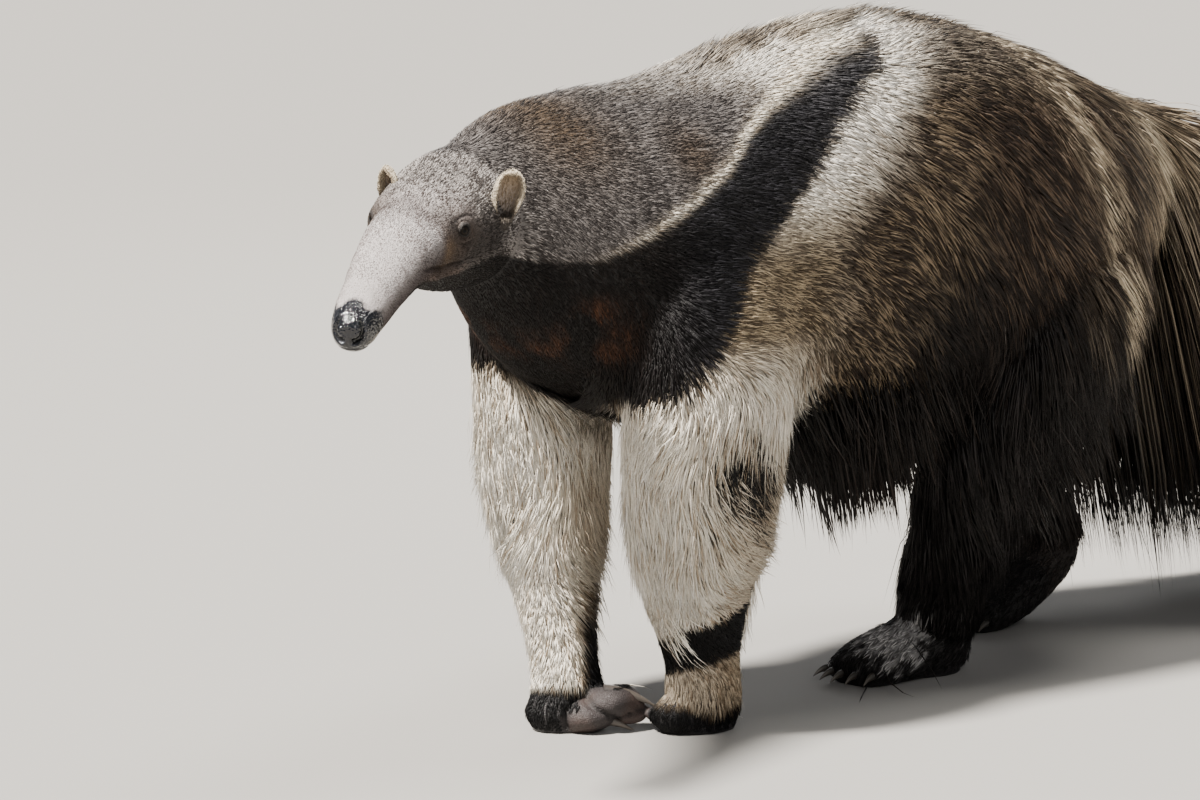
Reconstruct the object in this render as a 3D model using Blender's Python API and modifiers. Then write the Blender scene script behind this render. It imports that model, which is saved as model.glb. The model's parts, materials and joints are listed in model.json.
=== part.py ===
"""Giant anteater caught in mid-step, life size: every named part of the body is one closed solid.

Metres, +Z up, floor at Z = 0. The face looks towards -Y, the animal's left side is at +X.
The long coat of tail, back, belly and legs is built as flat, tapered locks that lie along the body.
"""
import math
import random

import bpy
import bmesh
from mathutils import Euler, Matrix, Vector
from mathutils.bvhtree import BVHTree

NAME = "giant_anteater"

# The body is drawn round the shoulders and then moved, so that its box is centred on the origin
ORIGIN = Vector((0.0, 0.139, 0.0))

# Parts touch face to face with this gap between them
GAP = 0.0003

# Trunk, from inside the skull to inside the tail: place along the body, height of the back,
# height of the belly, half width, and how far the middle lies to the left
TRUNK = (
    (-0.645, 0.568, 0.460, 0.046, 0.014),
    (-0.605, 0.588, 0.430, 0.062, 0.010),
    (-0.565, 0.602, 0.392, 0.085, 0.005),
    (-0.520, 0.613, 0.350, 0.114, 0.001),
    (-0.450, 0.622, 0.312, 0.146, 0.000),
    (-0.360, 0.632, 0.285, 0.166, 0.000),
    (-0.250, 0.656, 0.262, 0.178, 0.000),
    (-0.130, 0.674, 0.245, 0.188, 0.000),
    (-0.020, 0.676, 0.240, 0.192, 0.000),
    (0.090, 0.655, 0.250, 0.186, 0.000),
    (0.180, 0.625, 0.285, 0.166, 0.000),
    (0.260, 0.596, 0.345, 0.128, 0.000),
    (0.330, 0.574, 0.400, 0.090, 0.000),
    (0.400, 0.556, 0.430, 0.062, 0.000),
)

# Tail: place along the body, top and bottom of the flesh with the inner half of its hair, half width
TAIL = (
    (0.300, 0.578, 0.400, 0.098),
    (0.370, 0.562, 0.335, 0.078),
    (0.470, 0.540, 0.280, 0.062),
    (0.620, 0.500, 0.250, 0.052),
    (0.780, 0.450, 0.230, 0.045),
    (0.920, 0.400, 0.222, 0.037),
    (1.030, 0.350, 0.240, 0.025),
    (1.070, 0.315, 0.265, 0.012),
)

# Legs, from inside the trunk to just under the floor, where the soles are cut flat:
# middle of each section, then its half width across and along the body
FORELEG_LEFT = (
    (0.090, -0.375, 0.480, 0.066, 0.105),
    (0.105, -0.385, 0.400, 0.080, 0.106),
    (0.106, -0.390, 0.320, 0.080, 0.098),
    (0.100, -0.390, 0.240, 0.076, 0.086),
    (0.092, -0.386, 0.170, 0.069, 0.072),
    (0.082, -0.375, 0.110, 0.057, 0.059),
    (0.077, -0.363, 0.065, 0.047, 0.050),
    (0.076, -0.361, 0.030, 0.047, 0.053),
    (0.076, -0.363, -0.012, 0.042, 0.049),
)
FORELEG_RIGHT = (
    (-0.090, -0.405, 0.480, 0.062, 0.100),
    (-0.098, -0.405, 0.400, 0.072, 0.096),
    (-0.094, -0.405, 0.320, 0.073, 0.086),
    (-0.088, -0.413, 0.240, 0.068, 0.076),
    (-0.072, -0.423, 0.170, 0.058, 0.064),
    (-0.050, -0.434, 0.110, 0.046, 0.053),
    (-0.032, -0.443, 0.065, 0.041, 0.048),
    (-0.022, -0.448, 0.030, 0.042, 0.054),
    (-0.020, -0.450, -0.012, 0.038, 0.050),
)
HINDLEG_LEFT = (
    (0.090, 0.120, 0.480, 0.076, 0.140),
    (0.105, 0.105, 0.400, 0.090, 0.142),
    (0.112, 0.075, 0.320, 0.088, 0.122),
    (0.105, 0.035, 0.240, 0.076, 0.096),
    (0.092, 0.014, 0.170, 0.062, 0.072),
    (0.076, 0.000, 0.110, 0.049, 0.053),
    (0.064, -0.002, 0.060, 0.040, 0.044),
    (0.056, -0.004, 0.020, 0.034, 0.036),
    (0.055, -0.004, -0.012, 0.030, 0.032),
)
HINDLEG_RIGHT = (
    (-0.090, 0.140, 0.480, 0.076, 0.135),
    (-0.105, 0.155, 0.400, 0.090, 0.138),
    (-0.110, 0.178, 0.320, 0.086, 0.122),
    (-0.100, 0.212, 0.240, 0.072, 0.098),
    (-0.084, 0.262, 0.170, 0.056, 0.072),
    (-0.070, 0.310, 0.115, 0.044, 0.054),
    (-0.062, 0.322, 0.078, 0.038, 0.044),
)

LEGS = {"foreleg_left": FORELEG_LEFT, "foreleg_right": FORELEG_RIGHT,
        "hindleg_left": HINDLEG_LEFT, "hindleg_right": HINDLEG_RIGHT}

# Hind feet lie from heel to toes: middle of each section, half width, half height
HINDFOOT_LEFT = (
    (0.057, 0.036, 0.024, 0.024, 0.028),
    (0.056, 0.006, 0.028, 0.035, 0.036),
    (0.051, -0.040, 0.026, 0.041, 0.034),
    (0.046, -0.085, 0.018, 0.044, 0.027),
    (0.044, -0.114, 0.012, 0.035, 0.020),
)
HINDFOOT_RIGHT = (
    (-0.062, 0.350, 0.076, 0.026, 0.030),
    (-0.062, 0.325, 0.066, 0.036, 0.037),
    (-0.060, 0.270, 0.040, 0.041, 0.036),
    (-0.056, 0.215, 0.022, 0.045, 0.030),
    (-0.054, 0.178, 0.014, 0.037, 0.020),
)

# The head has its own frame: it starts at the nape, and is turned to the left, lowered and tipped
HEAD_AT = Vector((0.018, -0.632, 0.520))
HEAD_YAW = math.radians(30)
HEAD_PITCH = math.radians(-14)
HEAD_ROLL = math.radians(-6)

# Head: place forward of the nape, heights above and below its middle line, half width
HEAD = (
    (-0.050, 0.046, 0.074, 0.060),
    (0.000, 0.053, 0.074, 0.063),
    (0.040, 0.055, 0.066, 0.062),
    (0.080, 0.056, 0.052, 0.056),
    (0.110, 0.055, 0.036, 0.049),
    (0.150, 0.053, 0.018, 0.041),
    (0.200, 0.048, 0.009, 0.034),
    (0.250, 0.039, 0.010, 0.028),
    (0.288, 0.0300, 0.0155, 0.0240),
    (0.308, 0.0235, 0.0190, 0.0215),
    (0.320, 0.0165, 0.0165, 0.0160),
    (0.3255, 0.0095, 0.0100, 0.0090),
)
HEAD_FULLNESS = 2.1
NAPE_CUT = -0.012
NOSE_CUT = 0.298

# Eyes: forward of the nape, above the middle line, how deep the middle lies under the skin
EYE_FORWARD, EYE_UP, EYE_DEPTH = 0.115, 0.026, 0.0036
EYE_RADIUS = 0.0068
LID_RING = 0.0066
LID_ROLL = 0.0026

# Ears: middle of the root in the head's frame, which way each stands (the right one is laid forward),
# which way the cups open, and their size
EAR_AT = Vector((0.020, 0.0560, 0.000))
EAR_OUT = {1: Vector((-0.20, 0.26, 0.94)), -1: Vector((0.30, -0.03, 0.94))}
EAR_OPEN = Vector((0.84, 0.50, -0.15))
EAR_HEIGHT = 0.050
EAR_HALF_WIDTH = 0.0165

# One ear from root to rim: height up the ear, half width, half depth
EAR_PROFILE = ((-0.012, 0.0100, 0.0085), (0.004, 0.0115, 0.0095), (0.018, EAR_HALF_WIDTH * 0.94, 0.0095),
               (0.033, EAR_HALF_WIDTH, 0.0080), (0.043, EAR_HALF_WIDTH * 0.80, 0.0060),
               (EAR_HEIGHT, EAR_HALF_WIDTH * 0.38, 0.0034))
EAR_CUP = Matrix.Diagonal((EAR_HALF_WIDTH * 0.74, 0.0118, 0.0200))
EAR_CUP_AT = (0.029, 0.0128)

# Claws: length along the bend, radius at the root
FORE_CLAW = (0.052, 0.0082)
FORE_CLAW_SECOND = (0.044, 0.0072)
HIND_CLAW = (0.030, 0.0052)

# Where the trunk is parted: place along the body, height, and how far the top of the cut leans forward
NECK_CUT = (-0.510, 0.45, math.radians(-12))
TAIL_CUTS = ((0.375, 0.46, math.radians(8)), (0.604, 0.38, math.radians(24)), (0.835, 0.33, math.radians(38)))
CUT_REACH = 1.6

# Legs are parted from the trunk by boxes: low corner, high corner, and how many degrees the sides
# lean to the left and to the back as they rise
LEG_BOXES = {
    "foreleg_left": ((0.0220, -0.520, 0.0), (0.300, -0.275, 0.305), 0, 2),
    "foreleg_right": ((-0.300, -0.560, 0.0), (0.0212, -0.305, 0.305), -7, 2),
    "hindleg_left": ((-0.0030, -0.175, 0.0), (0.320, 0.112, 0.325), 4, 22),
    "hindleg_right": ((-0.320, 0.125, 0.0), (-0.0085, 0.392, 0.325), -4, -14),
}

# A lock is flat and tapers: share of its length, then of its width and thickness
LONG_LOCK = ((0.0, 0.62, 1.0), (0.38, 1.0, 0.90), (0.76, 0.66, 0.50))
SHORT_LOCK = ((0.0, 0.70, 1.0), (0.42, 1.0, 0.85), (0.78, 0.66, 0.50))
LOCK_THICKNESS, LOCK_FULLNESS = 0.0035, 0.06
LOCK_SOLVER = "MANIFOLD"

# Places are looked for from this far outside the body, and no hair hangs lower than this
OUTSIDE = 1.4
LOWEST_TIP = 0.014

# Long coat: how many locks, where along the body they grow, and how long they are
CREST_LOCKS, CREST_REACH, CREST_LENGTH = 22, (-0.47, 0.35), 0.115
FRINGE_REACH, FRINGE_EVERY, FRINGE_LENGTH = {1: (-0.26, -0.08), -1: (-0.26, 0.09)}, 0.040, 0.135
BELLY_EVERY, BELLY_LENGTH = 0.060, 0.095
RUMP_ROOTS, RUMP_LENGTH = ((0.08, 0.37), (0.12, 0.45), (0.16, 0.37), (0.20, 0.44)), 0.15
BREAST_ROOTS, BREAST_LENGTH = ((-0.03, -0.47), (0.03, -0.48), (-0.01, -0.42), (0.03, -0.40)), 0.085
TAIL_ROWS = ((0.60, 3), (0.14, 3))
TAIL_UNDER, TAIL_TOP, TAIL_END = 2, 2, 7
TAIL_LOCK_WIDTH = 0.098
TAIL_HEM, TAIL_HEM_RISES = 0.035, 0.90

# Leg hair: height of the root, turn round the leg from its outer side to its back, length
FORELEG_LOCKS = ((0.31, 60, 0.11), (0.30, 95, 0.11), (0.25, 35, 0.10), (0.24, 80, 0.11), (0.23, 120, 0.10),
                 (0.18, 60, 0.09), (0.17, 100, 0.09), (0.13, 80, 0.07))
HINDLEG_LOCKS = ((0.30, 10, 0.14), (0.30, 50, 0.15), (0.30, 90, 0.15), (0.29, -35, 0.13), (0.25, 30, 0.14),
                 (0.24, 70, 0.14), (0.23, 110, 0.13), (0.23, -10, 0.12), (0.18, 50, 0.11), (0.18, 90, 0.11),
                 (0.17, 15, 0.10), (0.13, 80, 0.08))

# Nostrils, mouth and the fold of the cheek, in the head's frame
NOSTRIL_AT = (0.3192, 0.0118, 0.0030)
FOLD_START, FOLD_END, FOLD_SAG, FOLD_DEPTH = (0.200, 0.017), (0.104, -0.006), 0.003, 0.0030

# Claws of the forefeet are folded back along the inner side of the foot
FORE_CLAW_ROOTS = ((0.035, -0.026, 0.033, FORE_CLAW), (0.035, -0.018, 0.0125, FORE_CLAW_SECOND))

# The finish of each part, by the first word of its name
SLOTS = {"head": "coat_face", "nose": "nose_skin", "ear": "ear_skin", "eye": "eyeball",
         "neck": "coat_grizzled",
         "torso": "coat_grizzled", "tail": "coat_grizzled", "foreleg": "coat_pale", "hindleg": "coat_dark",
         "foreclaw": "claw_horn", "hindclaw": "claw_horn"}

SIDES = 24
EAR_SIDES = 12
BLEND_VOXEL = 0.008
BODY_TRIANGLES = 2800
HEAD_VOXEL = 0.0035
HEAD_TRIANGLES = 900

COLOURS = {
    "coat_grizzled": ((0.17, 0.14, 0.11), 0.85),
    "coat_dark": ((0.035, 0.028, 0.024), 0.80),
    "coat_pale": ((0.52, 0.46, 0.35), 0.85),
    "coat_face": ((0.45, 0.40, 0.36), 0.75),
    "nose_skin": ((0.045, 0.040, 0.042), 0.30),
    "ear_skin": ((0.33, 0.27, 0.22), 0.70),
    "eyeball": ((0.030, 0.020, 0.014), 0.06),
    "claw_horn": ((0.10, 0.085, 0.065), 0.40),
}


def slot_of(name):
    return SLOTS[name.split("_")[0]]


def clear_scene():
    for old in list(bpy.data.objects):
        bpy.data.objects.remove(old, do_unlink=True)


def make_collection(name):
    made = bpy.data.collections.new(name)
    bpy.context.scene.collection.children.link(made)
    return made


def make_material(name):
    colour, roughness = COLOURS[name]
    material = bpy.data.materials.new(name)
    material.use_nodes = True
    shader = material.node_tree.nodes["Principled BSDF"]
    shader.inputs["Base Color"].default_value = (*colour, 1.0)
    shader.inputs["Roughness"].default_value = roughness
    shader.inputs["Metallic"].default_value = 0.0
    return material


def add_object(name, mesh, collection):
    made = bpy.data.objects.new(name, mesh)
    collection.objects.link(made)
    return made


def mesh_from(name, bm):
    """A mesh with its faces pointing out, made from a bmesh that is then freed."""
    bmesh.ops.recalc_face_normals(bm, faces=bm.faces)
    mesh = bpy.data.meshes.new(name)
    bm.to_mesh(mesh)
    bm.free()
    return mesh


def applied(source, name, collection):
    """The shape of an object with its modifiers applied, as a new object; the old one goes."""
    shape = source.evaluated_get(bpy.context.evaluated_depsgraph_get())
    mesh = bpy.data.meshes.new_from_object(shape)
    made = add_object(name, mesh, collection)
    made.matrix_world = source.matrix_world.copy()
    bpy.data.objects.remove(source, do_unlink=True)
    return made


def duplicate(source, name, collection):
    made = add_object(name, source.data.copy(), collection)
    made.matrix_world = source.matrix_world.copy()
    return made


def smooth_rows(rows, steps):
    """More rows between the given ones, on a smooth curve through them all."""
    count = len(rows)
    fine = []
    for i in range(count - 1):
        before, start, end, after = (rows[max(0, min(count - 1, k))] for k in (i - 1, i, i + 1, i + 2))
        for k in range(steps):
            t = k / steps
            fine.append(tuple(
                0.5 * (2 * b + (c - a) * t + (2 * a - 5 * b + 4 * c - d) * t ** 2
                       + (3 * b - a - 3 * c + d) * t ** 3)
                for a, b, c, d in zip(before, start, end, after)))
    fine.append(rows[-1])
    return fine


def oval(middle, across, up, half_across, half_up, sides=SIDES, squareness=2.2):
    """The points of one oval section, a little fuller than an ellipse."""
    points = []
    for k in range(sides):
        turn = 2 * math.pi * k / sides
        side = math.copysign(abs(math.cos(turn)) ** (2 / squareness), math.cos(turn))
        rise = math.copysign(abs(math.sin(turn)) ** (2 / squareness), math.sin(turn))
        points.append(middle + across * (half_across * side) + up * (half_up * rise))
    return points


def loft(rings):
    """A closed skin over sections of equal count, with a rounded cap over each end."""
    bm = bmesh.new()
    loops = [[bm.verts.new(point) for point in ring] for ring in rings]
    count = len(loops[0])
    for low, high in zip(loops, loops[1:]):
        for k in range(count):
            bm.faces.new((low[k], low[(k + 1) % count], high[(k + 1) % count], high[k]))
    for end in (loops[0], loops[-1]):
        middle = bm.verts.new(sum((v.co for v in end), Vector()) / count)
        for k in range(count):
            bm.faces.new((end[k], end[(k + 1) % count], middle))
    return bm


def trunk_loft():
    rings = []
    for along, top, bottom, half, lean in smooth_rows(TRUNK, 3):
        middle = Vector((lean, along, (top + bottom) / 2))
        rings.append(oval(middle, Vector((1, 0, 0)), Vector((0, 0, 1)), half, (top - bottom) / 2))
    return loft(rings)


def tail_loft():
    rings = []
    for along, top, bottom, half in smooth_rows(TAIL, 3):
        middle = Vector((0.0, along, (top + bottom) / 2))
        rings.append(oval(middle, Vector((1, 0, 0)), Vector((0, 0, 1)), half, (top - bottom) / 2))
    return loft(rings)


def leg_loft(rows):
    rings = [oval(Vector(row[:3]), Vector((1, 0, 0)), Vector((0, 1, 0)), row[3], row[4])
             for row in smooth_rows(rows, 3)]
    return loft(rings)


def foot_loft(rows):
    rings = [oval(Vector(row[:3]), Vector((1, 0, 0)), Vector((0, 0, 1)), row[3], row[4])
             for row in smooth_rows(rows, 2)]
    return loft(rings)


def head_frame():
    """The head's own axes in the world: forward, left and up."""
    turn = Euler((0.0, 0.0, HEAD_YAW)).to_matrix()
    forward = turn @ Vector((0, -math.cos(HEAD_PITCH), math.sin(HEAD_PITCH)))
    level = turn @ Vector((1, 0, 0))
    upright = level.cross(-forward).normalized()
    if upright.z < 0:
        upright = -upright
    left = level * math.cos(HEAD_ROLL) + upright * math.sin(HEAD_ROLL)
    up = upright * math.cos(HEAD_ROLL) - level * math.sin(HEAD_ROLL)
    return forward, left, up


def in_head(place, side=1):
    """World place of a point given forward, left and up in the head; side -1 mirrors it to the right."""
    forward, left, up = head_frame()
    return HEAD_AT + forward * place[0] + left * (place[1] * side) + up * place[2]


def head_direction(direction, side=1):
    return (in_head(direction, side) - HEAD_AT).normalized()


def skin_place(along, height, side, raised=0.0):
    """World place of a point on the side of the head, forward of the nape and above its middle line."""
    row = min(smooth_rows(HEAD, 8), key=lambda r: abs(r[0] - along))
    _, above, below, half = row
    share = (height - (above - below) / 2) / ((above + below) / 2)
    across = half * (1 - min(1.0, abs(share)) ** HEAD_FULLNESS) ** (1 / HEAD_FULLNESS)
    return in_head((along, across + raised, height), side)


def head_loft():
    forward, left, up = head_frame()
    rings = []
    for along, above, below, half in smooth_rows(HEAD, 3):
        middle = HEAD_AT + forward * along + up * ((above - below) / 2)
        rings.append(oval(middle, left, up, half, (above + below) / 2, squareness=HEAD_FULLNESS))
    return loft(rings)


def blended(name, lofts, voxel, rounds, triangles, collection):
    """Several closed forms grown into one, with the joins between them smoothed over."""
    joined = bmesh.new()
    for form in lofts:
        mesh = mesh_from(name, form)
        joined.from_mesh(mesh)
        bpy.data.meshes.remove(mesh)
    mesh = bpy.data.meshes.new(name)
    joined.to_mesh(mesh)
    joined.free()
    body = add_object(name, mesh, collection)
    remesh = body.modifiers.new("grow together", "REMESH")
    remesh.mode = "VOXEL"
    remesh.voxel_size = voxel
    smooth = body.modifiers.new("smooth joins", "SMOOTH")
    smooth.factor = 0.5
    smooth.iterations = rounds
    body = applied(body, name, collection)
    faces = sum(len(p.vertices) - 2 for p in body.data.polygons)
    thin = body.modifiers.new("fewer faces", "DECIMATE")
    thin.ratio = triangles / faces
    thin.use_collapse_triangulate = True
    return applied(body, name, collection)


def leg_box(name, grow, collection):
    """The box that holds one leg; its sides lean as they rise."""
    low, high, lean_left, lean_back = LEG_BOXES[name]
    low = Vector(low) - Vector((grow, grow, 0.0))
    high = Vector(high) + Vector((grow, grow, grow))
    bm = bmesh.new()
    bmesh.ops.create_cube(bm, size=1.0)
    for vert in bm.verts:
        vert.co = Vector((low[k] + (high[k] - low[k]) * (vert.co[k] + 0.5) for k in range(3)))
        vert.co.x += (vert.co.z - low.z) * math.tan(math.radians(lean_left))
        vert.co.y += (vert.co.z - low.z) * math.tan(math.radians(lean_back))
    return add_object(name, mesh_from(name, bm), collection)


def behind_plane(name, cut, shift, collection):
    """A large box whose front face is a leaning cut across the body, moved back by a shift."""
    along, height, lean = cut
    bm = bmesh.new()
    bmesh.ops.create_cube(bm, size=CUT_REACH)
    bmesh.ops.translate(bm, verts=bm.verts, vec=(0.0, CUT_REACH / 2 + shift, 0.0))
    bmesh.ops.rotate(bm, verts=bm.verts, matrix=Matrix.Rotation(lean, 3, "X"))
    bmesh.ops.translate(bm, verts=bm.verts, vec=(0.0, along, height))
    return add_object(name, mesh_from(name, bm), collection)


def boolean(target, tool, operation, collection, solver="EXACT"):
    """One solid cut by another, or joined to it, with the result applied."""
    change = target.modifiers.new(operation.lower(), "BOOLEAN")
    change.operation = operation
    change.object = tool
    change.solver = solver
    return applied(target, target.name, collection)


def keep_largest(solid):
    """Drops whatever is not joined to the main body of a solid."""
    bm = bmesh.new()
    bm.from_mesh(solid.data)
    bmesh.ops.triangulate(bm, faces=bm.faces)
    unseen = set(bm.verts)
    groups = []
    while unseen:
        start = unseen.pop()
        group, front = {start}, [start]
        while front:
            vert = front.pop()
            for edge in vert.link_edges:
                other = edge.other_vert(vert)
                if other in unseen:
                    unseen.discard(other)
                    group.add(other)
                    front.append(other)
        groups.append(group)
    largest = max(groups, key=span)
    bmesh.ops.delete(bm, geom=[v for v in bm.verts if v not in largest], context="VERTS")
    bm.to_mesh(solid.data)
    bm.free()
    return len(groups)


def span(verts):
    """How far a group of points reaches, corner to corner."""
    lows = [min(v.co[k] for v in verts) for k in range(3)]
    highs = [max(v.co[k] for v in verts) for k in range(3)]
    return (Vector(highs) - Vector(lows)).length


def finish_part(solid, name, material, parts):
    """Names a solid, shades it, gives it its material and puts it in the model's collection."""
    solid.name = name
    solid.data.name = name
    solid.data.materials.clear()
    solid.data.materials.append(material)
    solid.data.shade_smooth()
    for owner in list(solid.users_collection):
        owner.objects.unlink(solid)
    parts.objects.link(solid)
    return solid


def claw_form(root, forward, bend_to, length, radius, extra=0.0, sides=5, steps=4):
    """A tapered claw that bends; extra makes the same form larger all round, for its socket."""
    forward, bend_to = forward.normalized(), bend_to.normalized()
    rings = []
    for k in range(steps + 1):
        t = k / steps
        middle = root + forward * (length * t) + bend_to * (length * 0.35 * t * t)
        ahead = (forward + bend_to * (0.7 * t)).normalized()
        across = ahead.cross(bend_to).normalized()
        rise = across.cross(ahead).normalized()
        size = radius * (1 - 0.88 * t ** 1.3)
        if k == 0:
            middle = middle - forward * extra
        rings.append(oval(middle, across, rise, size * 0.8 + extra, size + extra, sides, 2.0))
    return loft(rings)


def add_ear(side, holding, collection):
    """A small round ear as a cup with a thick rim; the head is cut to hold its root."""
    out = head_direction(EAR_OUT[side], side)
    face = head_direction(EAR_OPEN, side)
    face = (face - out * face.dot(out)).normalized()
    across = out.cross(face).normalized()
    root = in_head(EAR_AT, side)

    def form(extra):
        rings = [oval(root + out * rise, across, face, wide + extra, deep + extra, EAR_SIDES, 2.0)
                 for rise, wide, deep in EAR_PROFILE]
        return loft(rings)

    name = "ear_left" if side > 0 else "ear_right"
    ear = add_object(name, mesh_from(name, form(0.0)), collection)
    hollow = bmesh.new()
    bmesh.ops.create_uvsphere(hollow, u_segments=12, v_segments=7, radius=1.0)
    axes = Matrix((across, face, out)).transposed().to_4x4()
    place = Matrix.Translation(root + out * EAR_CUP_AT[0] + face * EAR_CUP_AT[1])
    bmesh.ops.transform(hollow, verts=hollow.verts, matrix=place @ axes @ EAR_CUP.to_4x4())
    cup = add_object("ear cup", mesh_from("ear cup", hollow), collection)
    ear = boolean(ear, cup, "DIFFERENCE", collection)
    bpy.data.objects.remove(cup, do_unlink=True)
    socket = add_object("ear socket", mesh_from("ear socket", form(GAP)), collection)
    return ear, cut_with(holding, socket, "DIFFERENCE", collection, "MANIFOLD")


def ball(name, middle, radius, collection, segments=16, rings=10, matrix=None):
    bm = bmesh.new()
    bmesh.ops.create_uvsphere(bm, u_segments=segments, v_segments=rings, radius=radius)
    if matrix is not None:
        bmesh.ops.transform(bm, verts=bm.verts, matrix=matrix.to_4x4())
    bmesh.ops.translate(bm, verts=bm.verts, vec=middle)
    return add_object(name, mesh_from(name, bm), collection)


def lock_form(root, lie, face, length, width, thickness, fall, sway, shape):
    """One flat, tapered lock of hair: it leaves along its lie, bends with its fall and sways sideways."""
    lie, face = lie.normalized(), face.normalized()
    side = lie.cross(face).normalized()
    rings = []
    for t, wide, thick in shape:
        middle = root + lie * (length * t) + fall * (length * t * t) + side * (sway * length * t * t)
        rings.append([middle + side * (width * wide / 2), middle + face * (thickness * thick),
                      middle - side * (width * wide / 2)])
    tip = root + (lie + fall + side * sway) * length
    bm = bmesh.new()
    loops = [[bm.verts.new(point) for point in ring] for ring in rings]
    for low, high in zip(loops, loops[1:]):
        for k in range(3):
            bm.faces.new((low[k], low[(k + 1) % 3], high[(k + 1) % 3], high[k]))
    end = bm.verts.new(tip)
    for k in range(3):
        bm.faces.new((loops[-1][k], loops[-1][(k + 1) % 3], end))
    bm.faces.new(loops[0])
    bmesh.ops.triangulate(bm, faces=bm.faces)
    return bm


class Coat:
    """The locks of one part, each set on the surface that it grows from and sunk well into it."""

    def __init__(self, flesh, seed):
        self.tree = BVHTree.FromObject(flesh, bpy.context.evaluated_depsgraph_get())
        self.draw = random.Random(seed)
        self.locks = []

    def vary(self, value, share=0.12):
        return value * (1 + self.draw.uniform(-share, share))

    def grow(self, start, towards, lie, length, width, fall=(0, 0, -0.15), lift=0.22, sunk=0.016,
             shape=SHORT_LOCK, hug=0.75):
        """A lock where a ray from start meets the surface.

        Hug is how closely its lie is turned along the surface, lift how far it then stands off it.
        """
        spot, normal, _, _ = self.tree.ray_cast(Vector(start), Vector(towards).normalized())
        if spot is None:
            return
        lie = Vector(lie).normalized()
        lie = (lie - normal * lie.dot(normal) * hug).normalized() + normal * lift
        lie.x += self.draw.uniform(-0.03, 0.03)
        lie.y += self.draw.uniform(-0.10, 0.10)
        face = (normal - lie * (normal.dot(lie) / lie.length_squared)).normalized()
        root = spot - normal * sunk - lie.normalized() * sunk * 0.5
        fall, length = Vector(fall), self.vary(length)
        if lie.z + fall.z < 0:
            length = min(length, (root.z - LOWEST_TIP) / -(lie.z + fall.z))
        self.locks.append(lock_form(root, lie, face, length, self.vary(width),
                                    LOCK_THICKNESS + width * LOCK_FULLNESS, fall,
                                    self.draw.uniform(-0.12, 0.12), shape))


def joined_locks(flesh, coat, work):
    """One union of a part's flesh with all its locks."""
    group = make_collection("locks of " + flesh.name)
    for number, form in enumerate(coat.locks):
        add_object("lock %d" % number, mesh_from("lock", form), group)
    join = flesh.modifiers.new("join locks", "BOOLEAN")
    join.operation = "UNION"
    join.operand_type = "COLLECTION"
    join.collection = group
    join.solver = LOCK_SOLVER
    whole = applied(flesh, flesh.name, work)
    for lock in list(group.objects):
        bpy.data.objects.remove(lock, do_unlink=True)
    bpy.data.collections.remove(group)
    return whole


def spread(count, low, high):
    return [low + (high - low) * (k + 0.5) / count for k in range(count)]


def trunk_coat(flesh):
    """Crest along the spine, fringe along the flanks and belly, beard between the forelegs, rump."""
    coat = Coat(flesh, 11)
    for k, along in enumerate(spread(CREST_LOCKS, *CREST_REACH)):
        side = (0.016, -0.018, 0.002)[k % 3]
        coat.grow((side, along, OUTSIDE), (0, 0, -1), (side, 1.0, 0.0), CREST_LENGTH, 0.044,
                  (0, 0, -0.07), 0.17, 0.008)
    for side in (-1, 1):
        low, high = FRINGE_REACH[side]
        for k, along in enumerate(spread(round((high - low) / FRINGE_EVERY), low, high)):
            height = (0.300, 0.330)[k % 2]
            coat.grow((side * OUTSIDE, along, height), (-side, 0, 0), (0.0, 0.45, -1.0), FRINGE_LENGTH, 0.064,
                      (-0.08 * side, 0, -0.1), 0.08, 0.014)
        for along in spread(round((high - low) / BELLY_EVERY), low, high):
            coat.grow((side * 0.085, along, 0.0), (0, 0, 1), (0.1 * side, 0.6, -0.8), BELLY_LENGTH, 0.055,
                      (0, 0.1, -0.15), 0.45, 0.014)
        for along, height in RUMP_ROOTS:
            coat.grow((side * OUTSIDE, along, height), (-side, 0, 0), (0.0, 0.55, -1.0), RUMP_LENGTH, 0.062,
                      (-0.12 * side, 0, -0.12), 0.05, 0.014)
    for across, along in BREAST_ROOTS:
        coat.grow((across, along, 0.0), (0, 0, 1), (0, 0.35, -1.0), BREAST_LENGTH, 0.050, (0, 0.1, -0.1), 0.4,
                  0.014)
    return coat


def tail_reach(along):
    """How far down the hair of the tail hangs, at a place along it."""
    return TAIL_HEM + max(0.0, along - TAIL_HEM_RISES) * 0.32


def tail_swing(along):
    """How far back the hair of the tail hangs for each metre that it falls."""
    return 0.20 + 0.75 * max(0.0, (along - 0.40) / 0.65)


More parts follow.
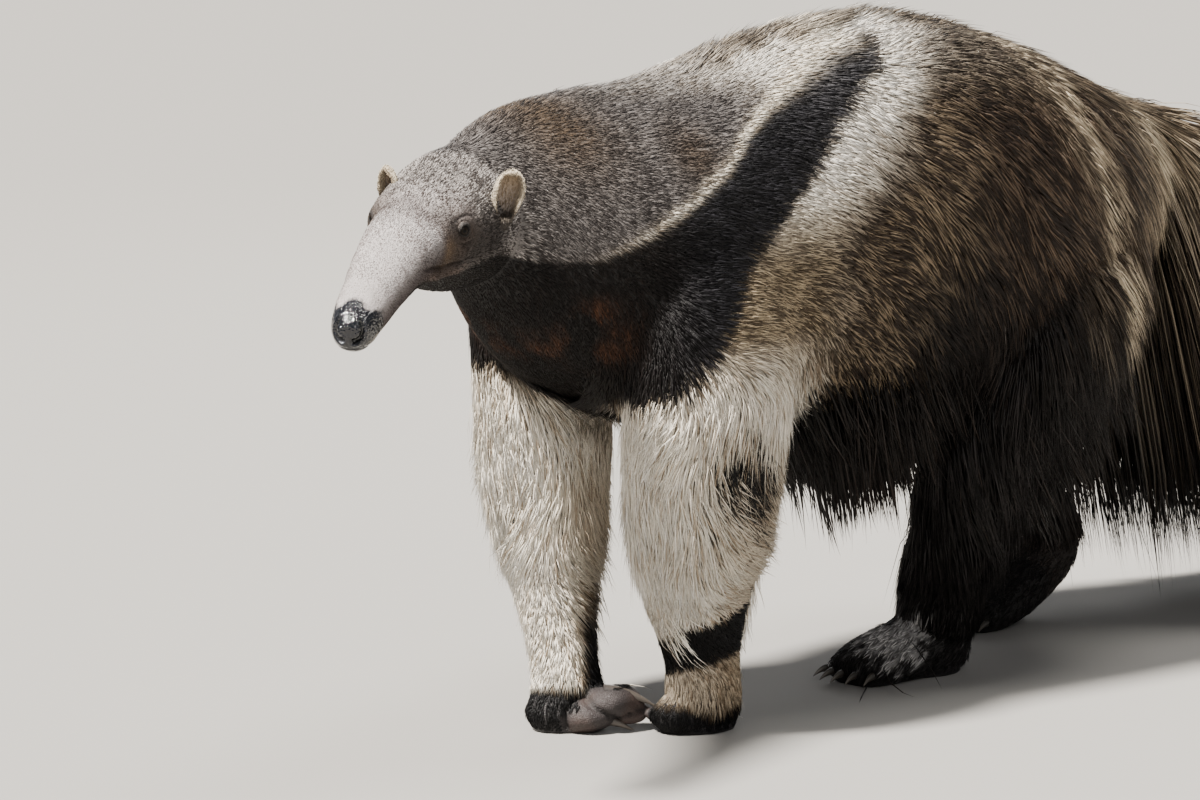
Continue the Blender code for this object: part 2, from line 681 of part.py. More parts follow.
def tail_coat(flesh, seed, low, high):
    """Curtains of hair down both sides of the tail, a row under it and a low crest on top of it."""
    coat = Coat(flesh, seed)
    rows = smooth_rows(TAIL, 6)

    def core(along):
        return min(rows, key=lambda row: abs(row[0] - along))[:3]

    for share, count in TAIL_ROWS:
        for along in spread(count, low, high):
            for side in (-1, 1):
                _, top, bottom = core(along)
                height = bottom + (top - bottom) * share
                swing = tail_swing(along)
                room = height - tail_reach(along)
                length = min(room * (1.0 + 0.35 * swing), 0.34) * (0.80 if share > 0.5 else 1.0)
                coat.grow((side * OUTSIDE, along, height), (-side, 0, 0), (0.0, swing, -1.0), length,
                          TAIL_LOCK_WIDTH, (-0.10 * side, 0.05, -0.05), 0.05 + 0.12 * share, 0.014,
                          LONG_LOCK, 0.35)
    for k, along in enumerate(spread(TAIL_UNDER, low, high)):
        _, top, bottom = core(along)
        coat.grow((0.012 * (-1) ** k, along, 0.0), (0, 0, 1), (0, tail_swing(along), -1.0),
                  (bottom - tail_reach(along)) * 1.1, TAIL_LOCK_WIDTH, (0, 0.05, -0.05), 0.0, 0.02,
                  LONG_LOCK, 0.0)
    for k, along in enumerate(spread(TAIL_TOP, low, high)):
        coat.grow((0.014 * (-1) ** k, along, OUTSIDE), (0, 0, -1), (0, 1.0, -0.25), 0.13, 0.050,
                  (0, 0, -0.12), 0.12, 0.010)
    return coat


def tail_end_coat(coat):
    """The brush past the end of the tail's bone, fanned from level to steep."""
    for k, slope in enumerate(spread(TAIL_END, -0.15, -1.1)):
        side = (-1) ** k
        coat.grow((side * 0.02, OUTSIDE, 0.345 - 0.085 * k / TAIL_END), (0, -1, 0), (side * 0.10, 1.0, slope),
                  0.19 - 0.006 * k, 0.060, (0, 0, -0.16), 0.15, 0.03, LONG_LOCK)
    return coat


def leg_coat(flesh, name):
    """Feathering on the back of a foreleg; long hair over thigh and hock on a hind leg."""
    side = 1 if "left" in name else -1
    fore = "fore" in name
    rows = smooth_rows(LEGS[name], 4)
    coat = Coat(flesh, 31 + len(name) + side)
    places = FORELEG_LOCKS if fore else HINDLEG_LOCKS
    for height, turn, length in places:
        across, along = min(rows, key=lambda row: abs(row[2] - height))[:2]
        angle = math.radians(turn)
        out = Vector((side * math.cos(angle), math.sin(angle), 0.0))
        start = Vector((across, along, height)) + out * 0.4
        coat.grow(start, -out, (out.x * 0.2, out.y * 0.35, -1.0), length, 0.044 if fore else 0.052,
                  (0, 0, -0.05), 0.14, 0.014)
    return coat


def split(body, cutter_for, name, work):
    """Takes what lies in a region off the body as a new solid, leaving the gap between the two."""
    piece = duplicate(body, name, work)
    tool = cutter_for(0.0)
    piece = boolean(piece, tool, "INTERSECT", work)
    bpy.data.objects.remove(tool, do_unlink=True)
    tool = cutter_for(GAP)
    body = boolean(body, tool, "DIFFERENCE", work)
    bpy.data.objects.remove(tool, do_unlink=True)
    return body, piece


def cut_with(solid, tool, operation, work, solver="EXACT"):
    solid = boolean(solid, tool, operation, work, solver)
    bpy.data.objects.remove(tool, do_unlink=True)
    return solid


def head_region(grow, work):
    """A large box ahead of the nape, square to the head's own axis."""
    forward, left, up = head_frame()
    bm = bmesh.new()
    bmesh.ops.create_cube(bm, size=0.6)
    axes = Matrix((left, forward, up)).transposed().to_4x4()
    place = Matrix.Translation(HEAD_AT + forward * (NAPE_CUT + 0.3 - grow))
    bmesh.ops.transform(bm, verts=bm.verts, matrix=place @ axes)
    return add_object("ahead of the nape", mesh_from("ahead of the nape", bm), work)


def build_head(work):
    """Head from its own finer skin, with eye sockets, lids, folds, mouth and ears; then its nose."""
    head = blended("head", [head_loft()], HEAD_VOXEL, 3, HEAD_TRIANGLES, work)
    head = cut_with(head, head_region(0.0, work), "INTERSECT", work)
    made = {}
    for side, word in ((1, "left"), (-1, "right")):
        eye_at = skin_place(EYE_FORWARD, EYE_UP, side, -EYE_DEPTH)
        out = head_direction((0.32, 1.0, 0.16), side)
        lids = bmesh.new()
        turns, sides = 12, 5
        across = out.cross(head_direction((1, 0, 0))).normalized()
        along = across.cross(out).normalized()
        loops = []
        for k in range(turns):
            around = 2 * math.pi * k / turns
            spoke = along * (math.cos(around) * 1.25) + across * math.sin(around)
            centre = eye_at + spoke * LID_RING + out * EYE_DEPTH
            loops.append([lids.verts.new(centre + spoke.normalized() * (LID_ROLL * math.cos(t))
                                         + out * (LID_ROLL * math.sin(t)))
                          for t in (2 * math.pi * j / sides for j in range(sides))])
        for k in range(turns):
            for j in range(sides):
                near, far = loops[k], loops[(k + 1) % turns]
                lids.faces.new((near[j], near[(j + 1) % sides], far[(j + 1) % sides], far[j]))
        ring = add_object("lids", mesh_from("lids", lids), work)
        head = cut_with(head, ring, "UNION", work)
        socket = ball("socket", eye_at, EYE_RADIUS + GAP, work, 12, 8)
        head = cut_with(head, socket, "DIFFERENCE", work)
        made["eye_" + word] = ball("eye_" + word, eye_at, EYE_RADIUS, work, 12, 8)
        ear, head = add_ear(side, head, work)
        made["ear_" + word] = ear
        head = cut_with(head, cheek_fold(side, work), "DIFFERENCE", work)
    tip = nose_region(0.0, work)
    nose = duplicate(head, "nose", work)
    nose = cut_with(nose, tip, "INTERSECT", work)
    head = cut_with(head, nose_region(GAP, work), "DIFFERENCE", work)
    for side in (1, -1):
        nostril = ball("nostril", in_head(NOSTRIL_AT, side), 1.0, work, 8, 5, nostril_shape(side))
        nose = cut_with(nose, nostril, "DIFFERENCE", work)
    nose = cut_with(nose, mouth_slit(work), "DIFFERENCE", work)
    made["head"], made["nose"] = head, nose
    return made


def nose_region(grow, work):
    forward, left, up = head_frame()
    bm = bmesh.new()
    bmesh.ops.create_cube(bm, size=0.1)
    axes = Matrix((left, forward, up)).transposed().to_4x4()
    place = Matrix.Translation(HEAD_AT + forward * (NOSE_CUT + 0.05 - grow))
    bmesh.ops.transform(bm, verts=bm.verts, matrix=place @ axes)
    return add_object("nose region", mesh_from("nose region", bm), work)


def nostril_shape(side):
    """A crescent-like hollow: narrow across, tall, and turned outwards."""
    forward, left, up = head_frame()
    axes = Matrix((left * side, forward, up)).transposed()
    tilt = Matrix.Rotation(math.radians(28), 3, "Y")
    return axes @ tilt @ Matrix.Diagonal((0.0022, 0.0060, 0.0050))


def mouth_slit(work):
    """The short mouth under the tip of the snout, a thin slot that wraps round both sides."""
    forward, left, up = head_frame()
    bm = bmesh.new()
    bmesh.ops.create_uvsphere(bm, u_segments=12, v_segments=4, radius=1.0)
    axes = Matrix((left, forward, up)).transposed()
    shape = axes @ Matrix.Diagonal((0.026, 0.030, 0.0013))
    bmesh.ops.transform(bm, verts=bm.verts, matrix=shape.to_4x4())
    bmesh.ops.translate(bm, verts=bm.verts, vec=in_head((0.329, 0.0, -0.0125)))
    return add_object("mouth", mesh_from("mouth", bm), work)


def cheek_fold(side, work):
    """The fold that runs back and up from the corner of the jaw, cut as a thin bent groove."""
    rings = []
    for t in (0.0, 0.25, 0.5, 0.75, 1.0):
        along = FOLD_START[0] + (FOLD_END[0] - FOLD_START[0]) * t
        height = FOLD_START[1] + (FOLD_END[1] - FOLD_START[1]) * t - FOLD_SAG * math.sin(math.pi * t)
        middle = skin_place(along, height, side)
        size = FOLD_DEPTH * (0.35 + 0.65 * math.sin(math.pi * t))
        rings.append(oval(middle, head_direction((0, 1, 0), side), head_direction((0, 0, 1)), size * 1.5,
                          size * 0.7, 6, 2.0))
    return add_object("cheek fold", mesh_from("cheek fold", loft(rings)), work)


def claw_places():
    """Every claw: name, root, direction, the way it bends, and its size."""
    down = Vector((0, 0, -1))
    for leg, rows, side in (("left", FORELEG_LEFT, 1), ("right", FORELEG_RIGHT, -1)):
        for number, (across, along, height, size) in enumerate(FORE_CLAW_ROOTS, 1):
            root = Vector((rows[-1][0] - side * across, rows[-1][1] + along, height))
            yield ("foreclaw_%s_%d" % (leg, number), "foreleg_" + leg, root,
                   Vector((-side * 0.14, 0.98, -0.12)), Vector((0.0, 0.5, 0.5)), size)
    for leg, toes in (("left", HINDFOOT_LEFT[-1]), ("right", HINDFOOT_RIGHT[-1])):
        for number in range(1, 6):
            spread_out = (number - 3) / 2
            root = Vector((toes[0] + spread_out * 0.031, toes[1] - 0.012 + 0.012 * spread_out ** 2, 0.0135))
            yield ("hindclaw_%s_%d" % (leg, number), "hindleg_" + leg, root,
                   Vector((spread_out * 0.18, -1, -0.06)), down, HIND_CLAW)


def part_trunk(body, work):
    """Parts the trunk into neck, torso and three lengths of tail, front to back."""
    made = {}
    cuts = (NECK_CUT,) + TAIL_CUTS
    for name, cut in zip(("neck", "torso", "tail_base", "tail_middle"), cuts):
        body, rest = split(body, lambda grow, c=cut: behind_plane("cut", c, -grow, work), name, work)
        made[name] = body
        body = rest
    made["tail_tip"] = body
    return made


def dress_trunk(made, work):
    """Adds the locks of torso and tail, then trims them back to the parts that carry them."""
    bounds = {"torso": (NECK_CUT, TAIL_CUTS[0]), "tail_base": TAIL_CUTS[:2], "tail_middle": TAIL_CUTS[1:],
              "tail_tip": (TAIL_CUTS[2], None)}
    for name, (front, back) in bounds.items():
        flesh = made[name]
        low = front[0]
        high = back[0] if back else TAIL[-1][0] - 0.02
        if name == "torso":
            coat = trunk_coat(flesh)
        else:
            coat = tail_coat(flesh, 17 + len(name), low, high)
        if name == "tail_tip":
            coat = tail_end_coat(coat)
        whole = joined_locks(flesh, coat, work)
        whole = cut_with(whole, behind_plane("front", front, 0.0, work), "INTERSECT", work)
        if back:
            whole = cut_with(whole, behind_plane("back", back, -GAP, work), "DIFFERENCE", work)
        if name == "torso":
            for leg in LEG_BOXES:
                whole = cut_with(whole, leg_box(leg, GAP, work), "DIFFERENCE", work)
        made[name] = whole


def main():
    clear_scene()
    parts = make_collection(NAME)
    work = make_collection("working forms")
    materials = {name: make_material(name) for name in COLOURS}

    forms = [trunk_loft(), tail_loft(), head_loft(), foot_loft(HINDFOOT_LEFT), foot_loft(HINDFOOT_RIGHT)]
    forms += [leg_loft(rows) for rows in LEGS.values()]
    body = blended("body", forms, BLEND_VOXEL, 6, BODY_TRIANGLES, work)

    solids = build_head(work)
    body = cut_with(body, head_region(GAP, work), "DIFFERENCE", work)
    for name in LEGS:
        body, leg = split(body, lambda grow, n=name: leg_box(n, grow, work), name, work)
        leg = joined_locks(leg, leg_coat(leg, name), work)
        solids[name] = cut_with(leg, leg_box(name, 0.0, work), "INTERSECT", work)
    trunk = part_trunk(body, work)
    dress_trunk(trunk, work)
    solids.update(trunk)
    for name, leg, root, ahead, bend, size in claw_places():
        solids[name] = add_object(name, mesh_from(name, claw_form(root, ahead, bend, *size)), work)
        hole = claw_form(root, ahead, bend, *size, extra=GAP)
        socket = add_object("socket", mesh_from("socket", hole), work)
        solids[leg] = cut_with(solids[leg], socket, "DIFFERENCE", work)

    base = bpy.data.objects.new("floor_centre", None)
    base.location = -ORIGIN
    parts.objects.link(base)
    for name, solid in solids.items():
        dropped = keep_largest(solid) - 1
        finish_part(solid, name, materials[slot_of(name)], parts)
        solid.parent = base
        if dropped:
            print("dropped", dropped, "scraps of", name)
    bpy.data.collections.remove(work)


main()
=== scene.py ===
# %% [markdown]
# # A giant anteater, life size
#
# This lesson dresses the plain solids of a standing giant anteater: a smooth skin with the folds of
# the head, the markings of the animal, and a coat of many thousand thin tufts of hair. The solids
# give the size and the place of everything, so we load them first and keep their box in mind.

# %% Load the solids
import json
import math

import bpy
import numpy as np
from mathutils import Euler, Matrix, Vector

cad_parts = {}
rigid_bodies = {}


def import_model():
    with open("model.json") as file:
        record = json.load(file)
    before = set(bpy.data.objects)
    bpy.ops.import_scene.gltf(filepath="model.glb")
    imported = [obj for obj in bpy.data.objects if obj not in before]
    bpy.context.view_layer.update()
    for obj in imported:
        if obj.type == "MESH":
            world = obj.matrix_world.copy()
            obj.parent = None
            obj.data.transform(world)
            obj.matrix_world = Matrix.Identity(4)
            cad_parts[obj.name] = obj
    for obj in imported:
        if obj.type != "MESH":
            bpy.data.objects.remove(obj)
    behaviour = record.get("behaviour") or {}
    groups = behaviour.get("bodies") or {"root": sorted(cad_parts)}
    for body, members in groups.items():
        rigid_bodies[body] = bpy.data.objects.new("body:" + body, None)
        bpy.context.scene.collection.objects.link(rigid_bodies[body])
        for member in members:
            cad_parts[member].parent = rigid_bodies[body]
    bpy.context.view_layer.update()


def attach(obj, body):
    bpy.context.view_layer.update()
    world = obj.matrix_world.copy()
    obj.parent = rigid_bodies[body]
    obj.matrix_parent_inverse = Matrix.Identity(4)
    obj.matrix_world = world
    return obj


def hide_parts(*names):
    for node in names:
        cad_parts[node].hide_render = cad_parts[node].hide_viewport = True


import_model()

# %% [markdown]
# ## The sizes of the animal
#
# The skin follows the same sections as the solids. They were drawn round the shoulders, and the
# whole was then moved along the body by ORIGIN, so that its box stands over the middle of the floor.
# Each row of the trunk says: place along the body, height of the back, height of the belly, half
# width, and how far the middle lies to the left. Rows of a leg say: middle, half width across, half
# width along the body.

# %% Named sizes of the body, in metres
ORIGIN = Vector((0.0, 0.139, 0.0))

TRUNK = (
    (-0.645, 0.568, 0.460, 0.046, 0.014), (-0.605, 0.588, 0.430, 0.062, 0.010),
    (-0.565, 0.602, 0.392, 0.085, 0.005), (-0.520, 0.613, 0.350, 0.114, 0.001),
    (-0.450, 0.622, 0.312, 0.146, 0.000), (-0.360, 0.632, 0.285, 0.166, 0.000),
    (-0.250, 0.656, 0.262, 0.178, 0.000), (-0.130, 0.674, 0.245, 0.188, 0.000),
    (-0.020, 0.676, 0.240, 0.192, 0.000), (0.090, 0.655, 0.250, 0.186, 0.000),
    (0.180, 0.625, 0.285, 0.166, 0.000), (0.260, 0.596, 0.345, 0.128, 0.000),
    (0.330, 0.574, 0.400, 0.090, 0.000), (0.400, 0.556, 0.430, 0.062, 0.000))

# Bone and flesh of the tail, inside its long hair: place along the body, top, bottom, half width
TAIL = (
    (0.300, 0.560, 0.420, 0.070), (0.370, 0.545, 0.420, 0.052), (0.470, 0.520, 0.425, 0.040),
    (0.620, 0.480, 0.400, 0.033), (0.780, 0.432, 0.366, 0.028), (0.920, 0.384, 0.332, 0.022),
    (1.000, 0.352, 0.316, 0.014), (1.030, 0.338, 0.322, 0.007))

LEGS = {
    "foreleg_left": (
        (0.090, -0.375, 0.480, 0.066, 0.105), (0.105, -0.385, 0.400, 0.080, 0.106),
        (0.106, -0.390, 0.320, 0.080, 0.098), (0.100, -0.390, 0.240, 0.076, 0.086),
        (0.092, -0.386, 0.170, 0.069, 0.072), (0.082, -0.375, 0.110, 0.057, 0.059),
        (0.077, -0.363, 0.065, 0.047, 0.050), (0.076, -0.361, 0.030, 0.047, 0.053),
        (0.076, -0.363, -0.012, 0.042, 0.049)),
    "foreleg_right": (
        (-0.090, -0.405, 0.480, 0.062, 0.100), (-0.098, -0.405, 0.400, 0.072, 0.096),
        (-0.094, -0.405, 0.320, 0.073, 0.086), (-0.088, -0.413, 0.240, 0.068, 0.076),
        (-0.072, -0.423, 0.170, 0.058, 0.064), (-0.050, -0.434, 0.110, 0.046, 0.053),
        (-0.032, -0.443, 0.065, 0.041, 0.048), (-0.022, -0.448, 0.030, 0.042, 0.054),
        (-0.020, -0.450, -0.012, 0.038, 0.050)),
    "hindleg_left": (
        (0.090, 0.120, 0.480, 0.076, 0.140), (0.105, 0.105, 0.400, 0.090, 0.142),
        (0.112, 0.075, 0.320, 0.088, 0.122), (0.105, 0.035, 0.240, 0.076, 0.096),
        (0.092, 0.014, 0.170, 0.062, 0.072), (0.076, 0.000, 0.110, 0.049, 0.053),
        (0.064, -0.002, 0.060, 0.040, 0.044), (0.056, -0.004, 0.020, 0.034, 0.036),
        (0.055, -0.004, -0.012, 0.030, 0.032)),
    "hindleg_right": (
        (-0.090, 0.140, 0.480, 0.076, 0.135), (-0.105, 0.155, 0.400, 0.090, 0.138),
        (-0.110, 0.178, 0.320, 0.086, 0.122), (-0.100, 0.212, 0.240, 0.072, 0.098),
        (-0.084, 0.262, 0.170, 0.056, 0.072), (-0.070, 0.310, 0.115, 0.044, 0.054),
        (-0.062, 0.322, 0.078, 0.038, 0.044))}

# The long hind feet lie along the floor: middle, half width, half height
HINDFEET = {
    "left": ((0.057, 0.036, 0.024, 0.024, 0.028), (0.056, 0.006, 0.028, 0.035, 0.036),
             (0.051, -0.040, 0.026, 0.041, 0.034), (0.046, -0.085, 0.018, 0.044, 0.027),
             (0.044, -0.114, 0.012, 0.035, 0.020)),
    "right": ((-0.062, 0.350, 0.076, 0.026, 0.030), (-0.062, 0.325, 0.066, 0.036, 0.037),
              (-0.060, 0.270, 0.040, 0.041, 0.036), (-0.056, 0.215, 0.022, 0.045, 0.030),
              (-0.054, 0.178, 0.014, 0.037, 0.020))}

# The head has its own frame, turned aside, down and a little rolled. Its rows say: forward of the
# nape, reach above and below the middle line, half width
HEAD_AT = Vector((0.018, -0.632, 0.520)) - ORIGIN
HEAD_YAW, HEAD_PITCH, HEAD_ROLL = math.radians(30), math.radians(-14), math.radians(-6)
HEAD = (
    (-0.050, 0.046, 0.074, 0.060), (0.000, 0.053, 0.074, 0.063), (0.040, 0.055, 0.066, 0.062),
    (0.080, 0.056, 0.052, 0.056), (0.110, 0.055, 0.036, 0.049), (0.150, 0.053, 0.018, 0.041),
    (0.200, 0.048, 0.009, 0.034), (0.250, 0.039, 0.010, 0.028), (0.288, 0.0300, 0.0155, 0.0240),
    (0.308, 0.0235, 0.0190, 0.0215), (0.320, 0.0165, 0.0165, 0.0160), (0.3255, 0.0095, 0.0100, 0.0090))

# How deep the skin lies under the outside of the coat's core
TRUNK_DEPTH, NECK_DEPTH, FORELEG_DEPTH, HINDLEG_DEPTH, FOOT_DEPTH = 0.012, 0.006, 0.015, 0.016, 0.003
HEAD_DEPTH = 0.0008
print("rings: trunk", len(TRUNK), "tail", len(TAIL), "legs", [len(rows) for rows in LEGS.values()])

# %% [markdown]
# ## Helpers for rows and shapes
#
# A body is drawn from few sections, and a smooth curve through them gives the rest.

# %% Smooth rows
def smooth_rows(rows, steps):
    """More rows between the given ones, on a smooth curve through them all."""
    fine = []
    for i in range(len(rows) - 1):
        around = [rows[max(0, min(len(rows) - 1, k))] for k in (i - 1, i, i + 1, i + 2)]
        for k in range(steps):
            t = k / steps
            fine.append(tuple(
                0.5 * (2 * b + (c - a) * t + (2 * a - 5 * b + 4 * c - d) * t ** 2
                       + (3 * b - a - 3 * c + d) * t ** 3) for a, b, c, d in zip(*around)))
    fine.append(rows[-1])
    return fine


print("rings of the trunk, smoothed:", len(smooth_rows(TRUNK, 2)))

# %% [markdown]
# `tube` works as by hand: a filled circle is extruded from section to section and scaled at each
# one, as a sculptor winds clay round an armature. Operators act on what is selected, so each step
# first picks its piece.

# %% Tubes
def start_fresh():
    """Nothing is selected, so that an operator acts only on what comes next."""
    bpy.ops.object.select_all(action="DESELECT")


def pick(*pieces):
    """Selects these pieces alone, with the first as the active one."""
    start_fresh()
    for piece in pieces:
        piece.select_set(True)
    bpy.context.view_layer.objects.active = pieces[0]


def fuller(share, squareness):
    """Moves a place on a circle towards a rounded square; 2 leaves the circle as it is."""
    return math.copysign(abs(share) ** (2 / squareness), share)


def tube(name, plane, rings, sides=32, squareness=2.2):
    """A closed form drawn out from ring to ring; a ring is its middle and its two half widths."""
    turned = {"XZ": (math.radians(90), 0, 0), "XY": (0, 0, 0)}[plane]
    start_fresh()
    bpy.ops.mesh.primitive_circle_add(vertices=sides, radius=1.0, fill_type="NGON", rotation=turned)
    made = bpy.context.object
    made.name = name
    for v in made.data.vertices:
        v.co = (fuller(v.co.x, squareness), fuller(v.co.y, squareness), 0)
    bpy.ops.object.transform_apply(location=False, rotation=True, scale=False)
    bpy.ops.object.mode_set(mode="EDIT")
    bpy.ops.mesh.select_all(action="SELECT")
    at, wide, deep = Vector(), 1.0, 1.0
    for k, (middle, half, half_second) in enumerate(rings):
        step = tuple(Vector(middle) - at)
        if k == 0:
            bpy.ops.transform.translate(value=step)
        else:
            bpy.ops.mesh.extrude_region_move(TRANSFORM_OT_translate={"value": step})
        grow = (half / wide, half_second / deep)
        bpy.ops.transform.resize(value=(grow[0], 1.0, grow[1]) if plane == "XZ" else (*grow, 1.0),
                                 center_override=tuple(middle))
        at, wide, deep = Vector(middle), half, half_second
    bpy.ops.mesh.select_all(action="SELECT")
    bpy.ops.mesh.normals_make_consistent(inside=False)
    bpy.ops.object.mode_set(mode="OBJECT")
    return made


print("helpers: start_fresh, pick, fuller, tube")

# %% [markdown]
# A piece is then changed as a whole by a modifier, which is applied at once, or gets finer faces
# where a small form needs them.

# %% Modifiers and finer faces
def finish_with(piece, kind, **settings):
    """Adds one modifier and applies it."""
    pick(piece)
    modifier = piece.modifiers.new(kind.lower(), kind)
    for key, value in settings.items():
        setattr(modifier, key, value)
    bpy.ops.object.modifier_apply(modifier=modifier.name)
    return piece


def finer(piece, where, cuts):
    """Cuts the chosen faces of a piece into smaller ones."""
    middles = np.array([p.center for p in piece.data.polygons])
    chosen = where(middles)
    pick(piece)
    bpy.ops.object.mode_set(mode="EDIT")
    bpy.ops.mesh.select_all(action="DESELECT")
    bpy.ops.object.mode_set(mode="OBJECT")
    piece.data.polygons.foreach_set("select", chosen)
    bpy.ops.object.mode_set(mode="EDIT")
    bpy.ops.mesh.select_mode(type="FACE")
    bpy.ops.mesh.subdivide(number_cuts=cuts, smoothness=0)
    bpy.ops.object.mode_set(mode="OBJECT")


def triangles(piece):
    return sum(len(p.vertices) - 2 for p in piece.data.polygons)


# %% [markdown]
# A mesh can also be read and written as one array, which is quick for small soft changes. A few
# masks say how strong such a change is at each place, from 0 to 1.

# %% Whole meshes as arrays
def places(mesh):
    flat = np.empty(len(mesh.vertices) * 3, np.float32)
    mesh.vertices.foreach_get("co", flat)
    return flat.reshape(-1, 3).astype(float)


def directions(mesh):
    flat = np.empty(len(mesh.vertices) * 3, np.float32)
    mesh.vertices.foreach_get("normal", flat)
    return flat.reshape(-1, 3).astype(float)


def set_places(mesh, co):
    mesh.vertices.foreach_set("co", co.astype(np.float32).ravel())
    mesh.update()


def stored(mesh, name):
    """A value that a mesh holds for each vertex, or nothing but zeros."""
    flat = np.zeros(len(mesh.vertices), np.float32)
    if name in mesh.attributes:
        mesh.attributes[name].data.foreach_get("value", flat)
    return flat.astype(float)


def add_values(mesh, name, values):
    layer = mesh.attributes.new(name, "FLOAT", "POINT")
    layer.data.foreach_set("value", np.clip(values, 0, 1).astype(np.float32))


def add_colours(mesh, name, colours):
    layer = mesh.color_attributes.new(name, "FLOAT_COLOR", "POINT")
    rgba = np.ones((len(colours), 4), np.float32)
    rgba[:, :3] = np.clip(colours, 0, 1)
    layer.data.foreach_set("color", rgba.ravel())


print("an ear as an array:", places(bpy.data.objects["ear_left"].data).shape)

# %% Soft masks
def unit(v):
    return v / np.maximum(np.linalg.norm(v, axis=1), 1e-9)[:, None]


def laid_over(under, colour, amount):
    """One colour over others, as thick as the amount says, from 0 to 1."""
    return under * (1 - amount)[:, None] + np.array(colour) * amount[:, None]


def smoothstep(low, high, value):
    t = np.clip((value - low) / (high - low), 0, 1)
    return t * t * (3 - 2 * t)


def bump(distance, width):
    """One at no distance, and softly to nothing past the width."""
    return np.exp(-(distance / width) ** 2)


def waves(at, size, seed, octaves=5):
    """Smooth random hills between about -1 and 1, of the given size, from a few slanted waves."""
    rng = np.random.default_rng(seed)
    total = np.zeros(len(at))
    for _ in range(octaves):
        way = rng.normal(size=3)
        way /= np.linalg.norm(way) * size * rng.uniform(0.7, 1.5)
        total += np.sin(at @ way * math.pi + rng.uniform(0, 6.3))
    return total / math.sqrt(octaves)


print("a soft step:", smoothstep(0, 1, np.array((0.0, 0.25, 0.5, 0.75, 1.0))).round(2))

# %% [markdown]
# ## The body under the coat
#
# The skin is a little slimmer than the solids, because the hair fills the rest. Trunk, tail, legs
# and hind feet are separate tubes at first. A voxel remesh grows them into one body, as clay is
# smeared over joins, and a cut at the floor gives each foot its flat sole.

# %% Trunk, tail and legs as tubes
def drawn(x, y, z):
    """The place in the frame of a place as drawn round the shoulders."""
    return Vector((x, y, z)) - ORIGIN


trunk_rings = []
for along, top, bottom, half, lean in smooth_rows(TRUNK, 2):
    depth = NECK_DEPTH + (TRUNK_DEPTH - NECK_DEPTH) * float(smoothstep(-0.52, -0.36, along))
    trunk_rings.append((drawn(lean, along, (top + bottom) / 2), half - depth, (top - bottom) / 2 - depth))
body_forms = [tube("trunk form", "XZ", trunk_rings)]

tail_rings = [(drawn(0, along, (top + bottom) / 2), half, (top - bottom) / 2)
              for along, top, bottom, half in smooth_rows(TAIL, 2)]
body_forms.append(tube("tail form", "XZ", tail_rings, sides=20))


def leg_depth(name, height):
    """Deep under the long hair of a leg, shallow at the hind foot; lobes fill out the forefoot."""
    if "fore" in name:
        return FORELEG_DEPTH
    return FOOT_DEPTH + (HINDLEG_DEPTH - FOOT_DEPTH) * float(smoothstep(0.05, 0.20, height))


for name, rows in LEGS.items():
    rings = []
    for x, y, z, half, half_along in smooth_rows(rows, 2):
        depth = leg_depth(name, z)
        rings.append((drawn(x, y, z), half - depth, half_along - depth))
    body_forms.append(tube(name + " form", "XY", rings, sides=24))
for side, rows in HINDFEET.items():
    rings = [(drawn(x, y, z), half - FOOT_DEPTH, high - FOOT_DEPTH)
             for x, y, z, half, high in smooth_rows(rows, 2)]
    body_forms.append(tube("hindfoot_%s form" % side, "XZ", rings, sides=20))

print("tubes:", len(body_forms))

# %% [markdown]
# ### The forefeet
#
# An anteater walks on the outer edge of a fist. A knuckle pad, bare lobes and a curled digit are
# balls with their own half widths: middle, half widths, and whether the skin there is naked. The
# first four belong to the right foot, two of them to its curled digit.

# %% Lobes of the forefeet
FOOT_LOBES = (
    ((-0.022, -0.465, 0.0175), (0.027, 0.031, 0.0220), False),
    ((0.011, -0.450, 0.0150), (0.0235, 0.027, 0.0165), True),
    ((0.026, -0.428, 0.0290), (0.020, 0.031, 0.0165), True),
    ((0.033, -0.416, 0.0120), (0.0125, 0.015, 0.0100), True),
    ((0.070, -0.391, 0.0150), (0.025, 0.026, 0.0180), False),
    ((0.059, -0.362, 0.0150), (0.020, 0.026, 0.0160), True),
    ((0.058, -0.355, 0.0320), (0.019, 0.028, 0.0175), True))
RIGHT_LOBES, DIGIT_LOBES = (0, 1, 2, 3), (2, 3)
for number, (middle, half_widths, _) in enumerate(FOOT_LOBES):
    start_fresh()
    bpy.ops.mesh.primitive_uv_sphere_add(segments=24, ring_count=16, radius=1.0,
                                         location=drawn(*middle), scale=half_widths)
    bpy.ops.object.transform_apply(location=True, rotation=True, scale=True)
    bpy.context.object.name = "foot lobe %d" % number
    body_forms.append(bpy.context.object)
print("body forms:", len(body_forms))

# %% [markdown]
# ### One body
#
# The remesh gives one closed surface of small squares, a smoothing takes off its steps, and then
# the forefeet get finer faces, so that the creases between their lobes can be pressed in.

# %% Grow them together
BODY_VOXEL, CREASE_DEPTH = 0.0068, 0.0050
pick(*body_forms)
bpy.ops.object.join()
body = bpy.context.object
finish_with(body, "REMESH", mode="VOXEL", voxel_size=BODY_VOXEL)
finish_with(body, "SMOOTH", factor=0.5, iterations=9)
pick(body)
bpy.ops.object.mode_set(mode="EDIT")
bpy.ops.mesh.select_all(action="SELECT")
bpy.ops.mesh.bisect(plane_co=(0, 0, 0), plane_no=(0, 0, 1), clear_inner=True, use_fill=True)
bpy.ops.object.mode_set(mode="OBJECT")


def lobe_depths(at):
    """How far each place is from each lobe of the forefeet, where 1 is the lobe's surface."""
    return np.array([np.linalg.norm((at - np.array(drawn(*middle))) / np.array(half_widths), axis=1)
                     for middle, half_widths, _ in FOOT_LOBES])


